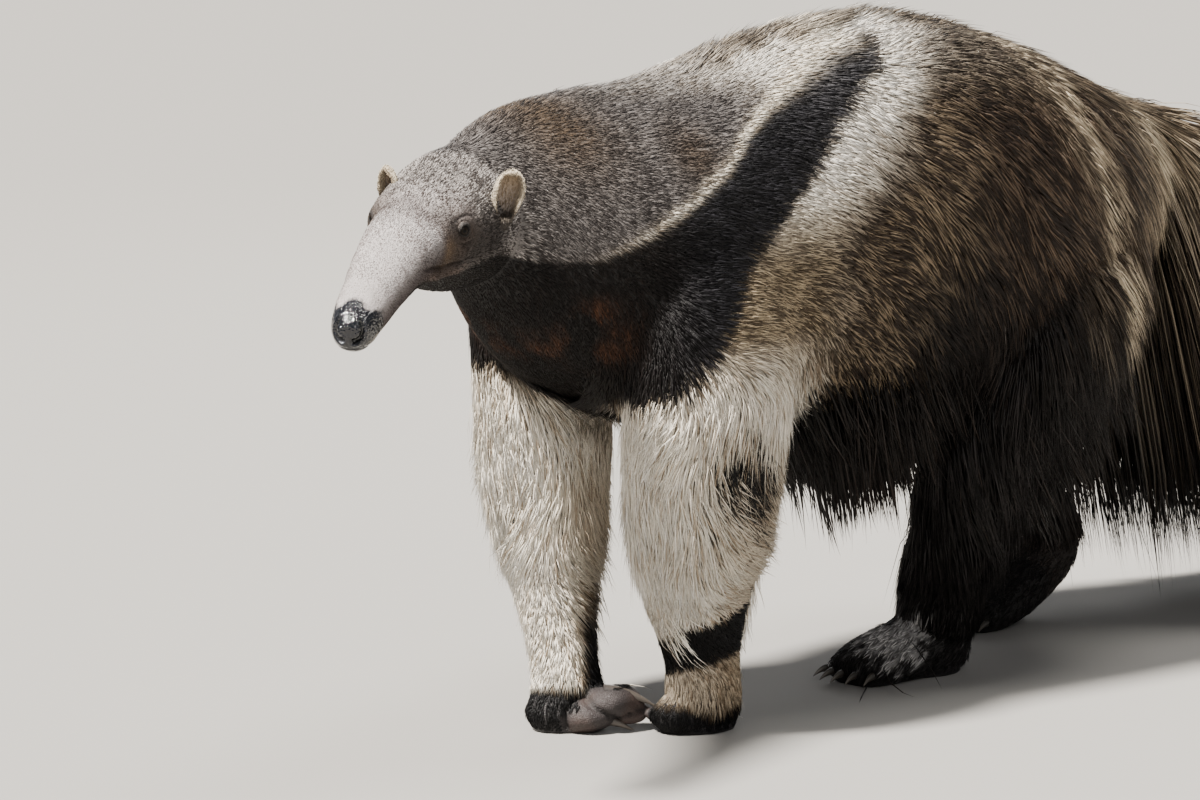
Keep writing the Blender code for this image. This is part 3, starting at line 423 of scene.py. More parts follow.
def creases(at):
    """One in the valleys between two lobes of a foot, softly to nothing beside them."""
    depths = np.sort(lobe_depths(at), axis=0)
    return bump(depths[1] - depths[0], 0.16) * (1 - smoothstep(1.35, 1.7, depths[1]))


finer(body, lambda at: (lobe_depths(at).min(axis=0) < 1.5) & (at[:, 2] < 0.06)
      & (at[:, 2] > 0.0005), 1)
co, out = places(body.data), directions(body.data)
pressed = CREASE_DEPTH * creases(co) * smoothstep(0.001, 0.006, co[:, 2])
set_places(body.data, co - out * pressed[:, None])
print("body:", triangles(body), "triangles")

# %% [markdown]
# ## The head
#
# The head is a long bent cone in its own straight frame: x to its left, y back to the nape, z up.
# It is drawn as a tube, rounded by a subdivision surface, and given more faces only where small
# forms come: round the eyes, along the fold of the cheek and at the nose. The small forms are
# moved points, each a soft hill or valley at a named place, as a modeller presses them with a tool.

# %% Draw the head
EYE_FORWARD, EYE_UP, EYE_DEPTH, EYE_RADIUS = 0.115, 0.026, 0.0052, 0.0068
HEAD_FULLNESS = 2.1

head_rings = [(Vector((0, -along, (above - below) / 2)), half - HEAD_DEPTH,
               (above + below) / 2 - HEAD_DEPTH) for along, above, below, half in smooth_rows(HEAD, 3)]
head = tube("head form", "XZ", head_rings, sides=32, squareness=HEAD_FULLNESS)
finish_with(head, "SUBSURF", levels=2, render_levels=2)


def skin_place(along, height, side=1, raised=0.0):
    """Place on the side of the head, in its own frame, forward of the nape and above its middle."""
    rows = np.array(smooth_rows(HEAD, 8))
    above, below, half = (np.interp(along, rows[:, 0], rows[:, k]) for k in (1, 2, 3))
    share = (height - (above - below) / 2) / ((above + below) / 2)
    across = (half - HEAD_DEPTH) * (1 - min(1.0, abs(share)) ** HEAD_FULLNESS) ** (1 / HEAD_FULLNESS)
    return np.array((side * (across + raised), -along, height))


EYES = {side: skin_place(EYE_FORWARD, EYE_UP, side, -EYE_DEPTH) for side in (1, -1)}
NOSE_FROM = 0.284


def near_eyes(at):
    return np.min([np.linalg.norm(at - eye, axis=1) for eye in EYES.values()], axis=0)


finer(head, lambda at: (-at[:, 1] > 0.060) & (-at[:, 1] < 0.225) & (at[:, 2] < 0.046)
      & (np.abs(at[:, 0]) > 0.014), 1)
finer(head, lambda at: near_eyes(at) < 0.024, 2)
finer(head, lambda at: -at[:, 1] > NOSE_FROM, 1)
print("head:", triangles(head), "triangles")

# %% [markdown]
# ### Lids, folds, nostrils and mouth
#
# An anteater's eye is small and sits in a shallow pit, with a thick dark rim, a brow that rolls
# over it, and a crease under it. A long fold like a smile runs back from under the eye, with a
# fleshy roll below. The nose is a blunt cap with comma-shaped nostrils and a short slit of a mouth.

# %% Press the forms into the head
def path_on_head(points, side, steps=10):
    """A smooth line over the side of the head through points given as forward and up."""
    return np.array([skin_place(f, u, side) for f, u in smooth_rows(points, steps)])


def away_from(at, path):
    """The distance of each place from a line, and how far along the line it is, from 0 to 1."""
    gaps = np.linalg.norm(at[:, None, :] - path[None, :, :], axis=2)
    return gaps.min(axis=1), gaps.argmin(axis=1) / (len(path) - 1)


def along_fade(share, start=0.15, end=0.85):
    return smoothstep(0, start, share) * (1 - smoothstep(end, 1, share))


SMILE = ((0.214, 0.021), (0.190, 0.015), (0.168, 0.009), (0.146, 0.002), (0.126, -0.003),
         (0.110, -0.004), (0.099, 0.000))
LIP_ROLL = ((0.206, 0.013), (0.182, 0.005), (0.158, -0.004), (0.134, -0.010), (0.117, -0.012),
            (0.105, -0.008))
LID_FOLD = ((0.131, 0.032), (0.123, 0.037), (0.112, 0.0375), (0.102, 0.034), (0.098, 0.027))
BAG_LINE = ((0.134, 0.025), (0.128, 0.018), (0.120, 0.015), (0.110, 0.015), (0.103, 0.018))
TEAR_LINE = ((0.131, 0.021), (0.130, 0.012), (0.126, 0.004))
CHEEK_LINES = (((0.109, 0.012), (0.112, 0.005), (0.117, -0.002)),
               ((0.097, 0.011), (0.098, 0.003), (0.101, -0.004)),
               ((0.120, 0.013), (0.121, 0.006), (0.125, 0.000)))
# Each fold: its line, half width, depth (a roll stands out), and how soon its ends fade
FOLDS = ((SMILE, 0.0024, -0.0040, 0.22), (LIP_ROLL, 0.0044, 0.0030, 0.30),
         (LID_FOLD, 0.0016, -0.0016, 0.30), (BAG_LINE, 0.0013, -0.0013, 0.32),
         (TEAR_LINE, 0.0016, -0.0011, 0.30), (CHEEK_LINES[0], 0.0015, -0.0010, 0.4),
         (CHEEK_LINES[1], 0.0015, -0.0009, 0.4), (CHEEK_LINES[2], 0.0014, -0.0007, 0.4))
# Raised and hollow places on the side of the head: forward, up, height, radius
MOUNDS = ((0.107, 0.0405, 0.0024, 0.0095), (0.122, 0.0185, 0.0011, 0.0070),
          (0.100, 0.018, 0.0012, 0.0080), (0.141, 0.016, -0.0016, 0.0160),
          (0.085, 0.034, 0.0014, 0.0180), (0.160, 0.004, 0.0012, 0.0130),
          (0.112, 0.000, -0.0010, 0.0090), (0.072, -0.012, 0.0020, 0.0260))

co, out = places(head.data), directions(head.data)
press = np.zeros(len(co))
for side in (1, -1):
    mine = (co[:, 0] * side > 0)
    for points, width, depth, ends in FOLDS:
        gap, share = away_from(co, path_on_head(points, side))
        press += mine * depth * bump(gap, width) * along_fade(share, ends, 1 - ends)
    for along, height, raised_by, radius in MOUNDS:
        gap = np.linalg.norm(co - skin_place(along, height, side), axis=1)
        press += mine * raised_by * bump(gap, radius)
    # The eye looks ahead more than the skin round it: hollow before it, raised behind it
    ahead_by = -(co[:, 1] - EYES[side][1])
    press -= mine * 0.42 * ahead_by * bump(np.linalg.norm(co - EYES[side], axis=1), 0.0155)
press += 0.0005 * waves(co, 0.030, 3) + 0.00022 * waves(co, 0.009, 4)
co += out * press[:, None]
print("folds and mounds: deepest", round(float(press.min()) * 1000, 2), "mm")

# %% [markdown]
# The lids are an almond cut round each eye. Inside it the skin drops behind the eyeball, and round
# it the skin hugs the eyeball, with the upper lid a little thicker.

# %% Lids round the eyeballs
LID_THICK = 0.0012
EYE_LOOK = {side: Vector((side, -0.66, 0.20)).normalized() for side in (1, -1)}
eye_rim = np.zeros(len(co))
for side, eye in EYES.items():
    look = np.array(EYE_LOOK[side])
    away = co - eye
    reach = np.linalg.norm(away, axis=1)
    ahead = np.array((0.0, -1.0, 0.0)) - look * -look[1]
    ahead /= np.linalg.norm(ahead)
    rise = np.cross(ahead, look) * side
    rise /= np.linalg.norm(rise)
    a, r = away @ ahead, away @ rise
    tip = 0.0016 * (a > 0) * np.clip(a / 0.006, 0, 1) ** 2
    almond = np.hypot(a / (0.0042 + tip), (r + 0.0004 + 0.12 * a) / 0.0030)
    facing = (away @ look) > -0.001
    lid = facing * (1 - smoothstep(1.85, 2.9, almond))
    pocket = 1 - smoothstep(0.88, 1.04, almond)
    upper = 0.0006 * (r > 0)
    wanted = (EYE_RADIUS + LID_THICK + upper) * (1 - pocket) + (EYE_RADIUS - 0.0026) * pocket
    pulled = eye + away / np.maximum(reach, 1e-6)[:, None] * wanted[:, None]
    co = co * (1 - lid)[:, None] + pulled * lid[:, None]
    eye_rim = np.maximum(eye_rim, facing * (1 - smoothstep(1.40, 2.05, almond)))
print("lids:", int((eye_rim > 0.5).sum()), "vertices on their rims")

# %% [markdown]
# A nostril is a comma: a narrow slit at the side that widens to a hole in front. The mouth is a
# short slit that wraps the tip under both.

# %% Nostrils and mouth
NOSTRIL = ((0.3195, 0.0100, 0.0125), (0.3215, 0.0122, 0.0075), (0.3225, 0.0122, 0.0025),
           (0.3240, 0.0098, -0.0018), (0.3250, 0.0060, -0.0040))
MOUTH_AT, MOUTH_BACK = -0.0122, 0.296
nostril_mask = np.zeros(len(co))
for side in (1, -1):
    line = np.array([(side * x, -f, u) for f, x, u in smooth_rows(NOSTRIL, 8)])
    gap, share = away_from(co, line)
    hole = bump(gap, 0.0013 + 0.0012 * share) * (gap < 0.006)
    nostril_mask = np.maximum(nostril_mask, smoothstep(0.25, 0.75, hole))
    rim = bump(gap - 0.0042, 0.0014)
    co -= out * (0.0048 * hole * (0.35 + 0.65 * share) - 0.0007 * rim)[:, None]
from_tip = np.linalg.norm(co - np.array((0, -0.3265, 0.006)), axis=1)
co += out * (0.0005 * bump(from_tip, 0.0075))[:, None]
slit = bump(co[:, 2] - MOUTH_AT, 0.0009) * smoothstep(MOUTH_BACK, MOUTH_BACK + 0.012, -co[:, 1])
co -= out * (0.0015 * slit)[:, None]
set_places(head.data, co)
add_values(head.data, "rim", eye_rim)
# The nostril holes, kept for their painted shade.
add_values(head.data, "nostril", nostril_mask)
print("nostrils:", int((nostril_mask > 0.5).sum()), "vertices")

# %% [markdown]
# ### Set the head on the neck
#
# The straight head is turned and carried to its place by one matrix. A union with the body makes
# one skin of both, and smoothing only round the join hides where they met.

# %% One skin
def head_frame():
    """The head's own axes in the world: forward, left and up."""
    turn = Euler((0.0, 0.0, HEAD_YAW)).to_matrix()
    forward = turn @ Vector((0, -math.cos(HEAD_PITCH), math.sin(HEAD_PITCH)))
    level = turn @ Vector((1, 0, 0))
    upright = level.cross(-forward).normalized()
    left = level * math.cos(HEAD_ROLL) + upright * math.sin(HEAD_ROLL)
    return forward, left, upright * math.cos(HEAD_ROLL) - level * math.sin(HEAD_ROLL)


FORWARD, LEFT, UP = head_frame()
HEAD_PLACE = Matrix.Translation(HEAD_AT) @ Matrix((LEFT, -FORWARD, UP)).transposed().to_4x4()
head.data.transform(HEAD_PLACE)


def in_head(at):
    """Forward, left and up in the head's own frame, for places in the world."""
    away = np.asarray(at, float) - np.array(HEAD_AT)
    return away @ np.array(FORWARD), away @ np.array(LEFT), away @ np.array(UP)


finish_with(head, "BOOLEAN", operation="UNION", object=body, solver="MANIFOLD")
bpy.data.objects.remove(body)
skin = head
skin.name = "skin"
f, _, u = in_head(places(skin.data))
join = bump(f + 0.030, 0.030) * (np.abs(u) < 0.14)
group = skin.vertex_groups.new(name="neck join")
for k in np.nonzero(join > 0.02)[0]:
    group.add([int(k)], float(join[k]), "REPLACE")
finish_with(skin, "SMOOTH", factor=0.6, iterations=24, vertex_group="neck join")
skin.vertex_groups.clear()
pick(skin)
bpy.ops.object.shade_smooth()
edge_use = np.bincount([loop.edge_index for loop in skin.data.loops], minlength=len(skin.data.edges))
print("skin:", triangles(skin), "triangles, open edges", int((edge_use != 2).sum()))

# %% [markdown]
# ## Where the markings lie
#
# One set of rules gives the colour of any place on the animal, and both the skin and every tuft of
# hair ask it, so they always agree. The black band is what lies between two lines drawn over the
# shoulder. Behind it the flank fades from cream through brown to black-brown. Each place has a dark
# colour, a pale colour and the share of hairs that end pale.

# %% Lines and places of the markings
STRIPE_TOP = np.array(((-0.66, 0.474), (-0.587, 0.473), (-0.564, 0.471), (-0.542, 0.469),
                       (-0.524, 0.472), (-0.488, 0.489), (-0.437, 0.517), (-0.381, 0.550),
                       (-0.341, 0.580), (-0.283, 0.608), (-0.219, 0.633), (-0.176, 0.645),
                       (-0.130, 0.652)))
STRIPE_FOOT = np.array(((-0.66, 0.30), (-0.500, 0.322), (-0.486, 0.338), (-0.461, 0.353),
                        (-0.434, 0.384), (-0.411, 0.420), (-0.387, 0.454), (-0.357, 0.480),
                        (-0.321, 0.519), (-0.270, 0.562), (-0.206, 0.605), (-0.152, 0.635),
                        (-0.130, 0.652)))
PALE_BACK = np.array(((0.20, -0.200), (0.277, -0.233), (0.348, -0.289), (0.417, -0.287),
                      (0.483, -0.258), (0.554, -0.195), (0.634, -0.085), (0.70, 0.02)))
DARK_FROM = np.array(((0.20, -0.150), (0.285, -0.183), (0.379, -0.187), (0.440, -0.155),
                      (0.482, -0.118), (0.545, -0.049), (0.600, 0.050), (0.66, 0.18)))
# Two golden streams of hair over the rump, as height and place along the body
STREAM_FRONT = np.array(((0.30, 0.140), (0.361, 0.137), (0.421, 0.139), (0.482, 0.135), (0.533, 0.120),
                         (0.583, 0.102), (0.621, 0.097), (0.650, 0.086)))
STREAM_BACK = np.array(((0.280, 0.450), (0.344, 0.419), (0.414, 0.372), (0.483, 0.318), (0.538, 0.291),
                        (0.573, 0.276), (0.600, 0.262)))
print("stripe:", len(STRIPE_TOP), "places on its upper edge,", len(STRIPE_FOOT), "on its lower one")

# %% [markdown]
# A survey of the skin says for any place how much it belongs to each part, from 0 to 1: to the
# head, the neck, each leg, each hind foot, the tail, and the bare lobes of the forefeet.

# %% What each place belongs to
def survey(at, normal=None):
    """The share of each part at each place, and where the place lies round its leg or head."""
    spot = {"at": at, "x": at[:, 0], "y": at[:, 1] + ORIGIN.y, "z": at[:, 2]}
    spot["f"], spot["l"], spot["u"] = in_head(at)
    spot["head"] = smoothstep(-0.022, 0.012, spot["f"]) * (spot["y"] < -0.5)
    spot["neck"] = (1 - smoothstep(-0.52, -0.46, spot["y"])) * (1 - spot["head"])
    spot["normal"] = normal if normal is not None else np.zeros_like(at)
    for name, rows in LEGS.items():
        table = np.array(rows)[::-1]
        cx, cy, a, b = (np.interp(spot["z"], table[:, 2], table[:, k]) for k in (0, 1, 3, 4))
        across, along = (spot["x"] - cx) / a, (spot["y"] - cy) / b
        radius = np.hypot(across, along)
        top = 0.345 if "fore" in name else 0.36
        under_top = 1 - smoothstep(top - 0.02, top + 0.05, spot["z"])
        spot[name] = (1 - smoothstep(1.15, 1.45, radius)) * under_top
        spot[name + "_way"] = (across, along)
    for side in ("left", "right"):
        table = np.array(HINDFEET[side])
        table = table[np.argsort(table[:, 1])]
        cx, cz, a, b = (np.interp(spot["y"], table[:, 1], table[:, k]) for k in (0, 2, 3, 4))
        reach = np.hypot((spot["x"] - cx) / a, (spot["z"] - cz) / b)
        inside = smoothstep(table[0, 1] - 0.04, table[0, 1] - 0.01, spot["y"])
        inside *= 1 - smoothstep(table[-1, 1] + 0.01, table[-1, 1] + 0.04, spot["y"])
        spot["hindfoot_" + side] = (1 - smoothstep(1.2, 1.5, reach)) * inside
    spot["hindfoot"] = np.maximum(spot["hindfoot_left"], spot["hindfoot_right"])
    spot["hind"] = np.maximum.reduce([spot["hindleg_left"], spot["hindleg_right"], spot["hindfoot"]])
    spot["tail"] = smoothstep(0.30, 0.38, spot["y"]) * (spot["z"] > 0.28)
    spot["lobe"] = np.zeros(len(at))
    for number, depth in enumerate(lobe_depths(at)):
        leg = "foreleg_right" if number in RIGHT_LOBES else "foreleg_left"
        spot[leg] = np.maximum(spot[leg], 1 - smoothstep(1.5, 1.8, depth))
        if FOOT_LOBES[number][2]:
            # The digit is bare all over, the other lobes only low down
            wider, bare_to = (0.22, 0.038) if number in DIGIT_LOBES else (0.0, 0.020)
            naked = smoothstep(bare_to + 0.008, bare_to, at[:, 2])
            naked = naked * (1 - smoothstep(1.06 + wider, 1.30 + wider, depth))
            spot["lobe"] = np.maximum(spot["lobe"], naked)
    spot["fore"] = np.maximum(spot["foreleg_left"], spot["foreleg_right"])
    return spot


spot = survey(places(skin.data))
print("vertices on the head:", int((spot["head"] > 0.5).sum()))

# %% [markdown]
# ### The kinds of coat
#
# Each kind has a dark colour, a pale colour, and the share of its hairs that end pale.

# %% Colours of the coat
COATS = {
    "back": ((0.036, 0.028, 0.023), (0.56, 0.50, 0.42), 0.52),
    "shoulder": ((0.034, 0.029, 0.028), (0.42, 0.385, 0.37), 0.42),
    "nape": ((0.026, 0.018, 0.013), (0.27, 0.19, 0.125), 0.40),
    "stripe": ((0.0056, 0.0053, 0.0064), (0.050, 0.048, 0.057), 0.30),
    # Blue-grey: painted sheen on the top of the black stripe
    "stripe_sheen": ((0.0150, 0.0140, 0.0155), (0.190, 0.185, 0.200), 0.50),
    "chest": ((0.0054, 0.0043, 0.0040), (0.018, 0.0125, 0.0102), 0.22),
    "rust": ((0.026, 0.0115, 0.007), (0.190, 0.082, 0.041), 0.58),
    "line": ((0.40, 0.33, 0.25), (0.92, 0.87, 0.76), 0.84),
    "pale": ((0.34, 0.285, 0.225), (1.0, 0.97, 0.90), 0.92),
    "sand": ((0.058, 0.039, 0.024), (0.66, 0.53, 0.35), 0.62),
    "umber": ((0.0130, 0.0080, 0.0058), (0.235, 0.162, 0.110), 0.27),
    "brown": ((0.022, 0.0145, 0.0105), (0.42, 0.32, 0.21), 0.40),
    "dark": ((0.0062, 0.0048, 0.0043), (0.042, 0.032, 0.027), 0.24),
    "rump": ((0.020, 0.014, 0.010), (0.36, 0.27, 0.175), 0.40),
    "gold": ((0.085, 0.058, 0.036), (0.94, 0.80, 0.59), 0.80),
    "tail": ((0.0060, 0.0047, 0.0042), (0.026, 0.020, 0.016), 0.22),
    "cream": ((0.36, 0.270, 0.180), (1.0, 0.965, 0.87), 0.90),
    # Golden-brown: a tan cuff, and painted shade on the far sides of the forelegs
    "tan_and_shade": ((0.110, 0.070, 0.038), (0.60, 0.46, 0.29), 0.66),
    "black": ((0.0050, 0.0048, 0.0052), (0.024, 0.0235, 0.0255), 0.20),
    "hind": ((0.0056, 0.0048, 0.0047), (0.040, 0.035, 0.035), 0.24),
    "hock": ((0.016, 0.0125, 0.0110), (0.105, 0.088, 0.080), 0.40),
    "grey": ((0.050, 0.047, 0.047), (0.80, 0.78, 0.76), 0.60),
    "crown": ((0.022, 0.016, 0.0135), (0.74, 0.68, 0.64), 0.50),
    "forehead": ((0.062, 0.046, 0.041), (0.78, 0.73, 0.71), 0.56),
    "snout": ((0.120, 0.096, 0.090), (0.72, 0.69, 0.68), 0.57),
    "mauve": ((0.036, 0.026, 0.024), (0.150, 0.122, 0.116), 0.50),
    "cheek": ((0.017, 0.0108, 0.0078), (0.070, 0.048, 0.035), 0.45),
    "tan": ((0.070, 0.043, 0.025), (0.27, 0.185, 0.112), 0.55),
    "brow": ((0.052, 0.038, 0.034), (0.175, 0.143, 0.130), 0.52),
    "ash": ((0.0130, 0.0100, 0.0090), (0.095, 0.080, 0.072), 0.40),
    "jaw": ((0.0058, 0.0047, 0.0045), (0.026, 0.0195, 0.0170), 0.24)}


def plain_coat(kind, count):
    """Dark colour, pale colour and share of one kind of coat, for that many places."""
    dark, pale, share = COATS[kind]
    return (np.tile(np.array(dark, float), (count, 1)), np.tile(np.array(pale, float), (count, 1)),
            np.full(count, share))


print("kinds of coat:", len(COATS))

# %% [markdown]
# ### The rules of the markings
#
# Each rule lays one kind of coat over what is there, softly at its edge. A little raggedness moves
# every edge, so that no border looks drawn. The rules go from the flank forward, then down the
# legs, and end with the head.

# %% Measures for the rules
# Under this line on the side of the head all is black: forward, up
LIP_EDGE = np.array((
    (-0.060, -0.056), (-0.012, -0.0455), (0.020, -0.0320), (0.0536, -0.0188), (0.0776, -0.0123),
    (0.0915, -0.0100), (0.100, -0.0108), (0.110, -0.0128), (0.117, -0.0138), (0.134, -0.0122),
    (0.158, -0.0070), (0.182, 0.0012), (0.206, 0.0078), (0.225, 0.0122), (0.260, 0.0115)))
HEAD_TABLE = np.array(HEAD)


RUST_PATCHES = ((-0.552, 0.414, 0.020, 0.014), (-0.525, 0.423, 0.018, 0.012),
                (-0.501, 0.388, 0.016, 0.022), (-0.540, 0.388, 0.018, 0.012))


def near(spot, y, z, size_y, size_z):
    """One at a place on the side of the body, softly to nothing round it."""
    return np.exp(-((spot["y"] - y) / size_y) ** 2 - ((spot["z"] - z) / size_z) ** 2)


def stripe_at(y):
    """Heights of the upper and the lower edge of the black stripe, at places along the body."""
    return (np.interp(y, STRIPE_TOP[:, 0], STRIPE_TOP[:, 1]),
            np.interp(y, STRIPE_FOOT[:, 0], STRIPE_FOOT[:, 1]))


def streaks_of(at):
    """Slanting streaks, as locks of long pale hair run through dark hair."""
    streaks = waves(at * np.array((1.0, 1.0, 0.22)), 0.010, 23)
    streaks = streaks + 0.5 * waves(at * np.array((1.0, 1.0, 0.3)), 0.028, 24)
    return 0.55 + 0.45 * np.clip(streaks, -1, 1)


def from_forelegs(spot):
    """How far a place is from the nearer foreleg's middle, where 1 is its surface."""
    return np.minimum(np.hypot(*spot["foreleg_left_way"]), np.hypot(*spot["foreleg_right_way"]))


print("stripe above the shoulder, from and to:", [round(float(v), 3) for v in stripe_at(-0.35)])

# %% [markdown]
# The flank turns from pale behind the stripe to black-brown, with two golden streams of long hair
# over the rump. The shoulder above the black stripe is grizzled, and a thin cream edge parts them.

# %% Flank, shoulder and tail
def mark_flank(spot, lay, ragged):
    """Pale behind the stripe, then brown, then black-brown, under a grizzled back."""
    y, z = spot["y"], spot["z"]
    behind_pale = y - np.interp(z, PALE_BACK[:, 0], PALE_BACK[:, 1]) + ragged
    behind_brown = y - np.interp(z, DARK_FROM[:, 0], DARK_FROM[:, 1]) + ragged
    flank = smoothstep(-0.5, -0.42, y)
    topside = smoothstep(0.585, 0.640, z + 0.05 * smoothstep(0.05, 0.3, y))
    lay("pale", flank * (1 - smoothstep(-0.05, 0.045, behind_pale)))
    sandy = smoothstep(0.545, 0.440, z + 0.5 * ragged) * smoothstep(0.33, 0.40, z)
    lay("sand", flank * (1 - smoothstep(-0.02, 0.045, behind_pale)) * sandy)
    lay("brown", flank * smoothstep(-0.05, 0.05, behind_pale) * (1 - topside * 0.55))
    lay("dark", flank * smoothstep(-0.035, 0.075, behind_brown) * (1 - topside * 0.9))
    lay("rump", smoothstep(0.04, 0.18, y) * smoothstep(0.40, 0.50, z + 0.3 * (y - 0.2)))
    lay("umber", smoothstep(-0.14, -0.02, y) * (1 - smoothstep(0.16, 0.24, y))
        * smoothstep(0.37, 0.46, z) * smoothstep(0.620, 0.575, z))
    for stream, width in ((STREAM_FRONT, 0.044), (STREAM_BACK, 0.078)):
        gap = np.abs(y - np.interp(z, stream[:, 0], stream[:, 1]) + 0.4 * ragged)
        lay("gold", streaks_of(spot["at"]) * bump(gap, width) * smoothstep(0.31, 0.40, z))


def mark_shoulder(spot, lay, ragged):
    """Grizzled neck, brown crest, the black stripe with throat and chest, and its cream edge."""
    at, x, y, z = spot["at"], spot["x"], spot["y"], spot["z"]
    stripe_top, stripe_foot = stripe_at(y)
    front = 1 - smoothstep(-0.36, -0.20, y)
    lay("shoulder", front * smoothstep(-0.004, 0.004, z - stripe_top + 0.2 * ragged)
        * (1 - 0.75 * smoothstep(0.60, 0.64, z)))
    lay("nape", bump(np.hypot(y + 0.535, z - 0.590), 0.045)
        + 0.8 * bump(np.hypot(y + 0.42, z - 0.560), 0.028))
    lay("brown", 0.8 * smoothstep(0.050, 0.022, np.abs(x) + ragged) * smoothstep(0.585, 0.610, z)
        * smoothstep(-0.36, -0.26, y) * (1 - smoothstep(0.05, 0.15, y)))
    on_stripe = smoothstep(-0.003, 0.003, stripe_top - z) * (y < -0.12)
    on_stripe = on_stripe * smoothstep(-0.008, 0.006, z - stripe_foot + 0.3 * ragged)
    lay("stripe", on_stripe)
    # Painted sheen: the stripe turns blue-grey where it runs up over the top of the back, as light from
    # above lies on it.
    lay("stripe_sheen", on_stripe * smoothstep(-0.33, -0.20, y) * 0.8)
    throat = on_stripe * (1 - smoothstep(-0.50, -0.42, y))
    lay("chest", throat)
    rusty = np.maximum.reduce([near(spot, *patch) for patch in RUST_PATCHES])
    lay("rust", throat * 0.9 * rusty * smoothstep(-0.8, 0.2, waves(at, 0.02, 31)))
    # The cream edge has the same breadth where the stripe's edge runs steeply
    rise = np.interp(y, (STRIPE_TOP[1:, 0] + STRIPE_TOP[:-1, 0]) / 2,
                     np.diff(STRIPE_TOP[:, 1]) / np.diff(STRIPE_TOP[:, 0]))
    from_line = (z - stripe_top - 0.003) / np.sqrt(1 + rise ** 2) + 0.1 * ragged
    broad = 0.0040 + 0.0035 * smoothstep(-0.34, -0.22, y)
    lay("line", 1.1 * bump(from_line, broad) * smoothstep(-0.550, -0.440, y)
        * (1 - smoothstep(-0.165, -0.13, y)))


def mark_belly_and_tail(spot, lay, ragged):
    """Dark under the chest and the belly; the tail is streaked on top and black-brown below."""
    x, y, z = spot["x"], spot["y"], spot["z"]
    lay("chest", smoothstep(0.80, 1.0, from_forelegs(spot)) * smoothstep(-0.34, -0.40, y)
        * smoothstep(0.27, 0.30, z) * smoothstep(0.370, 0.355, z) * (np.abs(x - 0.005) < 0.12))
    lay("dark", (1 - smoothstep(0.27, 0.31, z)) * (1 - spot["fore"]) * (1 - spot["hind"]) * (y < 0.3)
        * 0.9 * smoothstep(-0.38, -0.20, y))
    tail_top = np.interp(y, [r[0] for r in TAIL], [r[1] for r in TAIL])
    lay("rump", spot["tail"] * smoothstep(0.20, 0.10, tail_top - z))
    lay("tail", spot["tail"] * smoothstep(0.02, 0.11, tail_top - z + 1.5 * ragged
                                          + 0.08 * smoothstep(0.5, 0.9, y)))
    lay("gold", spot["tail"] * 0.75 * streaks_of(spot["at"]) * bump(y - 0.395, 0.055))


print("rules so far: flank, shoulder, belly and tail")

# %% [markdown]
# The left foreleg has a black elbow patch and a black band that leans over the wrist. The right one
# is black only on its inner side and round the foot. Both end in black toes.

# %% Legs and feet
def mark_forelegs(spot, lay, ragged):
    at, x, y, z = spot["at"], spot["x"], spot["y"], spot["z"]
    inner = smoothstep(0.28, 0.31, z) * smoothstep(0.09, 0.06, np.abs(x - 0.005))
    on_leg = 1 - smoothstep(0.85, 1.05, from_forelegs(spot)) * inner
    under_stripe = smoothstep(0.004, -0.010, z - np.maximum(stripe_at(y)[1], 0.30) + ragged)
    lay("cream", spot["fore"] * on_leg * under_stripe)
    for leg in ("foreleg_left", "foreleg_right"):
        # Painted shade: each foreleg is laid over with brown on its side turned away from the key light.
        rightwards = spot[leg + "_way"][0] + spot[leg + "_way"][1]
        lay("tan_and_shade", spot[leg] * 0.50 * smoothstep(-0.1, 0.9, rightwards) * smoothstep(0.31, 0.24, z))

    left, lobes = spot["foreleg_left"], lobe_depths(at)
    way_x, way_y = spot["foreleg_left_way"]
    patch = np.hypot((y + 0.400) / 0.034, (z - 0.270) / 0.040)
    lay("brown", left * 0.30 * bump(patch, 1.5) * smoothstep(0.2, 0.6, way_x))
    blot = bump(patch, 1.0) + 0.13 * waves(at, 0.03, 41) + 0.16 * waves(at, 0.009, 42)
    lay("black", left * smoothstep(0.42, 0.56, blot + 0.26 * waves(at, 0.0035, 43))
        * smoothstep(0.15, 0.5, way_x))
    # The band leans: lower at the front and inner side than at the back and outer side
    outward = way_x + way_y
    # Partly a tan cuff and partly painted shade: golden-brown above the black band of the left wrist.
    lay("tan_and_shade", left * smoothstep(0.086, 0.050, z - 0.010 * outward + ragged) * 0.60)
    band = z - (0.0915 + 0.0140 * outward) + 0.35 * ragged
    half = 0.0225 + 0.0035 * np.clip(outward, -1, 1)
    lay("black", left * 1.05 * smoothstep(0.003, -0.003, np.abs(band) - half)
        * smoothstep(-1.3, -1.0, outward))
    toes = 0.022 + 0.012 * way_y + 0.010 * way_x
    lay("black", left * smoothstep(0.006, -0.006, z - toes + 0.3 * ragged))
    lay("black", left * (1 - smoothstep(1.4, 1.8, lobes[4:].min(axis=0))) * smoothstep(0.036, 0.024, z))

    right = spot["foreleg_right"]
    way_x, way_y = spot["foreleg_right_way"]
    inward = (way_x + way_y) / 1.414
    lay("black", right * smoothstep(0.30, 0.48, inward) * (1 - smoothstep(0.110, 0.145, z + ragged)))
    toes = 0.046 + 0.013 * inward
    lay("black", right * smoothstep(0.005, -0.004, z - toes + 0.35 * ragged))
    lay("black", right * (1 - smoothstep(1.55, 1.95, lobes[1:4].min(axis=0))))


def mark_hind_legs(spot, lay, ragged):
    """Black-brown legs, with a grey patch on the instep of the left foot."""
    at, z = spot["at"], spot["z"]
    lay("hind", spot["hind"] * smoothstep(0.42, 0.28, z + 2.5 * ragged))
    lay("hock", spot["hindleg_right"] * smoothstep(0.17, 0.11, z) * 0.85)
    instep = np.linalg.norm(at - np.array(drawn(0.064, -0.070, 0.047)), axis=1)
    lay("grey", smoothstep(0.35, 0.60, bump(instep, 0.040) + 0.20 * waves(at, 0.008, 51)))


print("rules so far: the legs too")

# %% [markdown]
# The crown is speckled and the snout whitish with mauve sides. It is brown round the eye and over
# the cheek, dark behind them, and black under the lip.

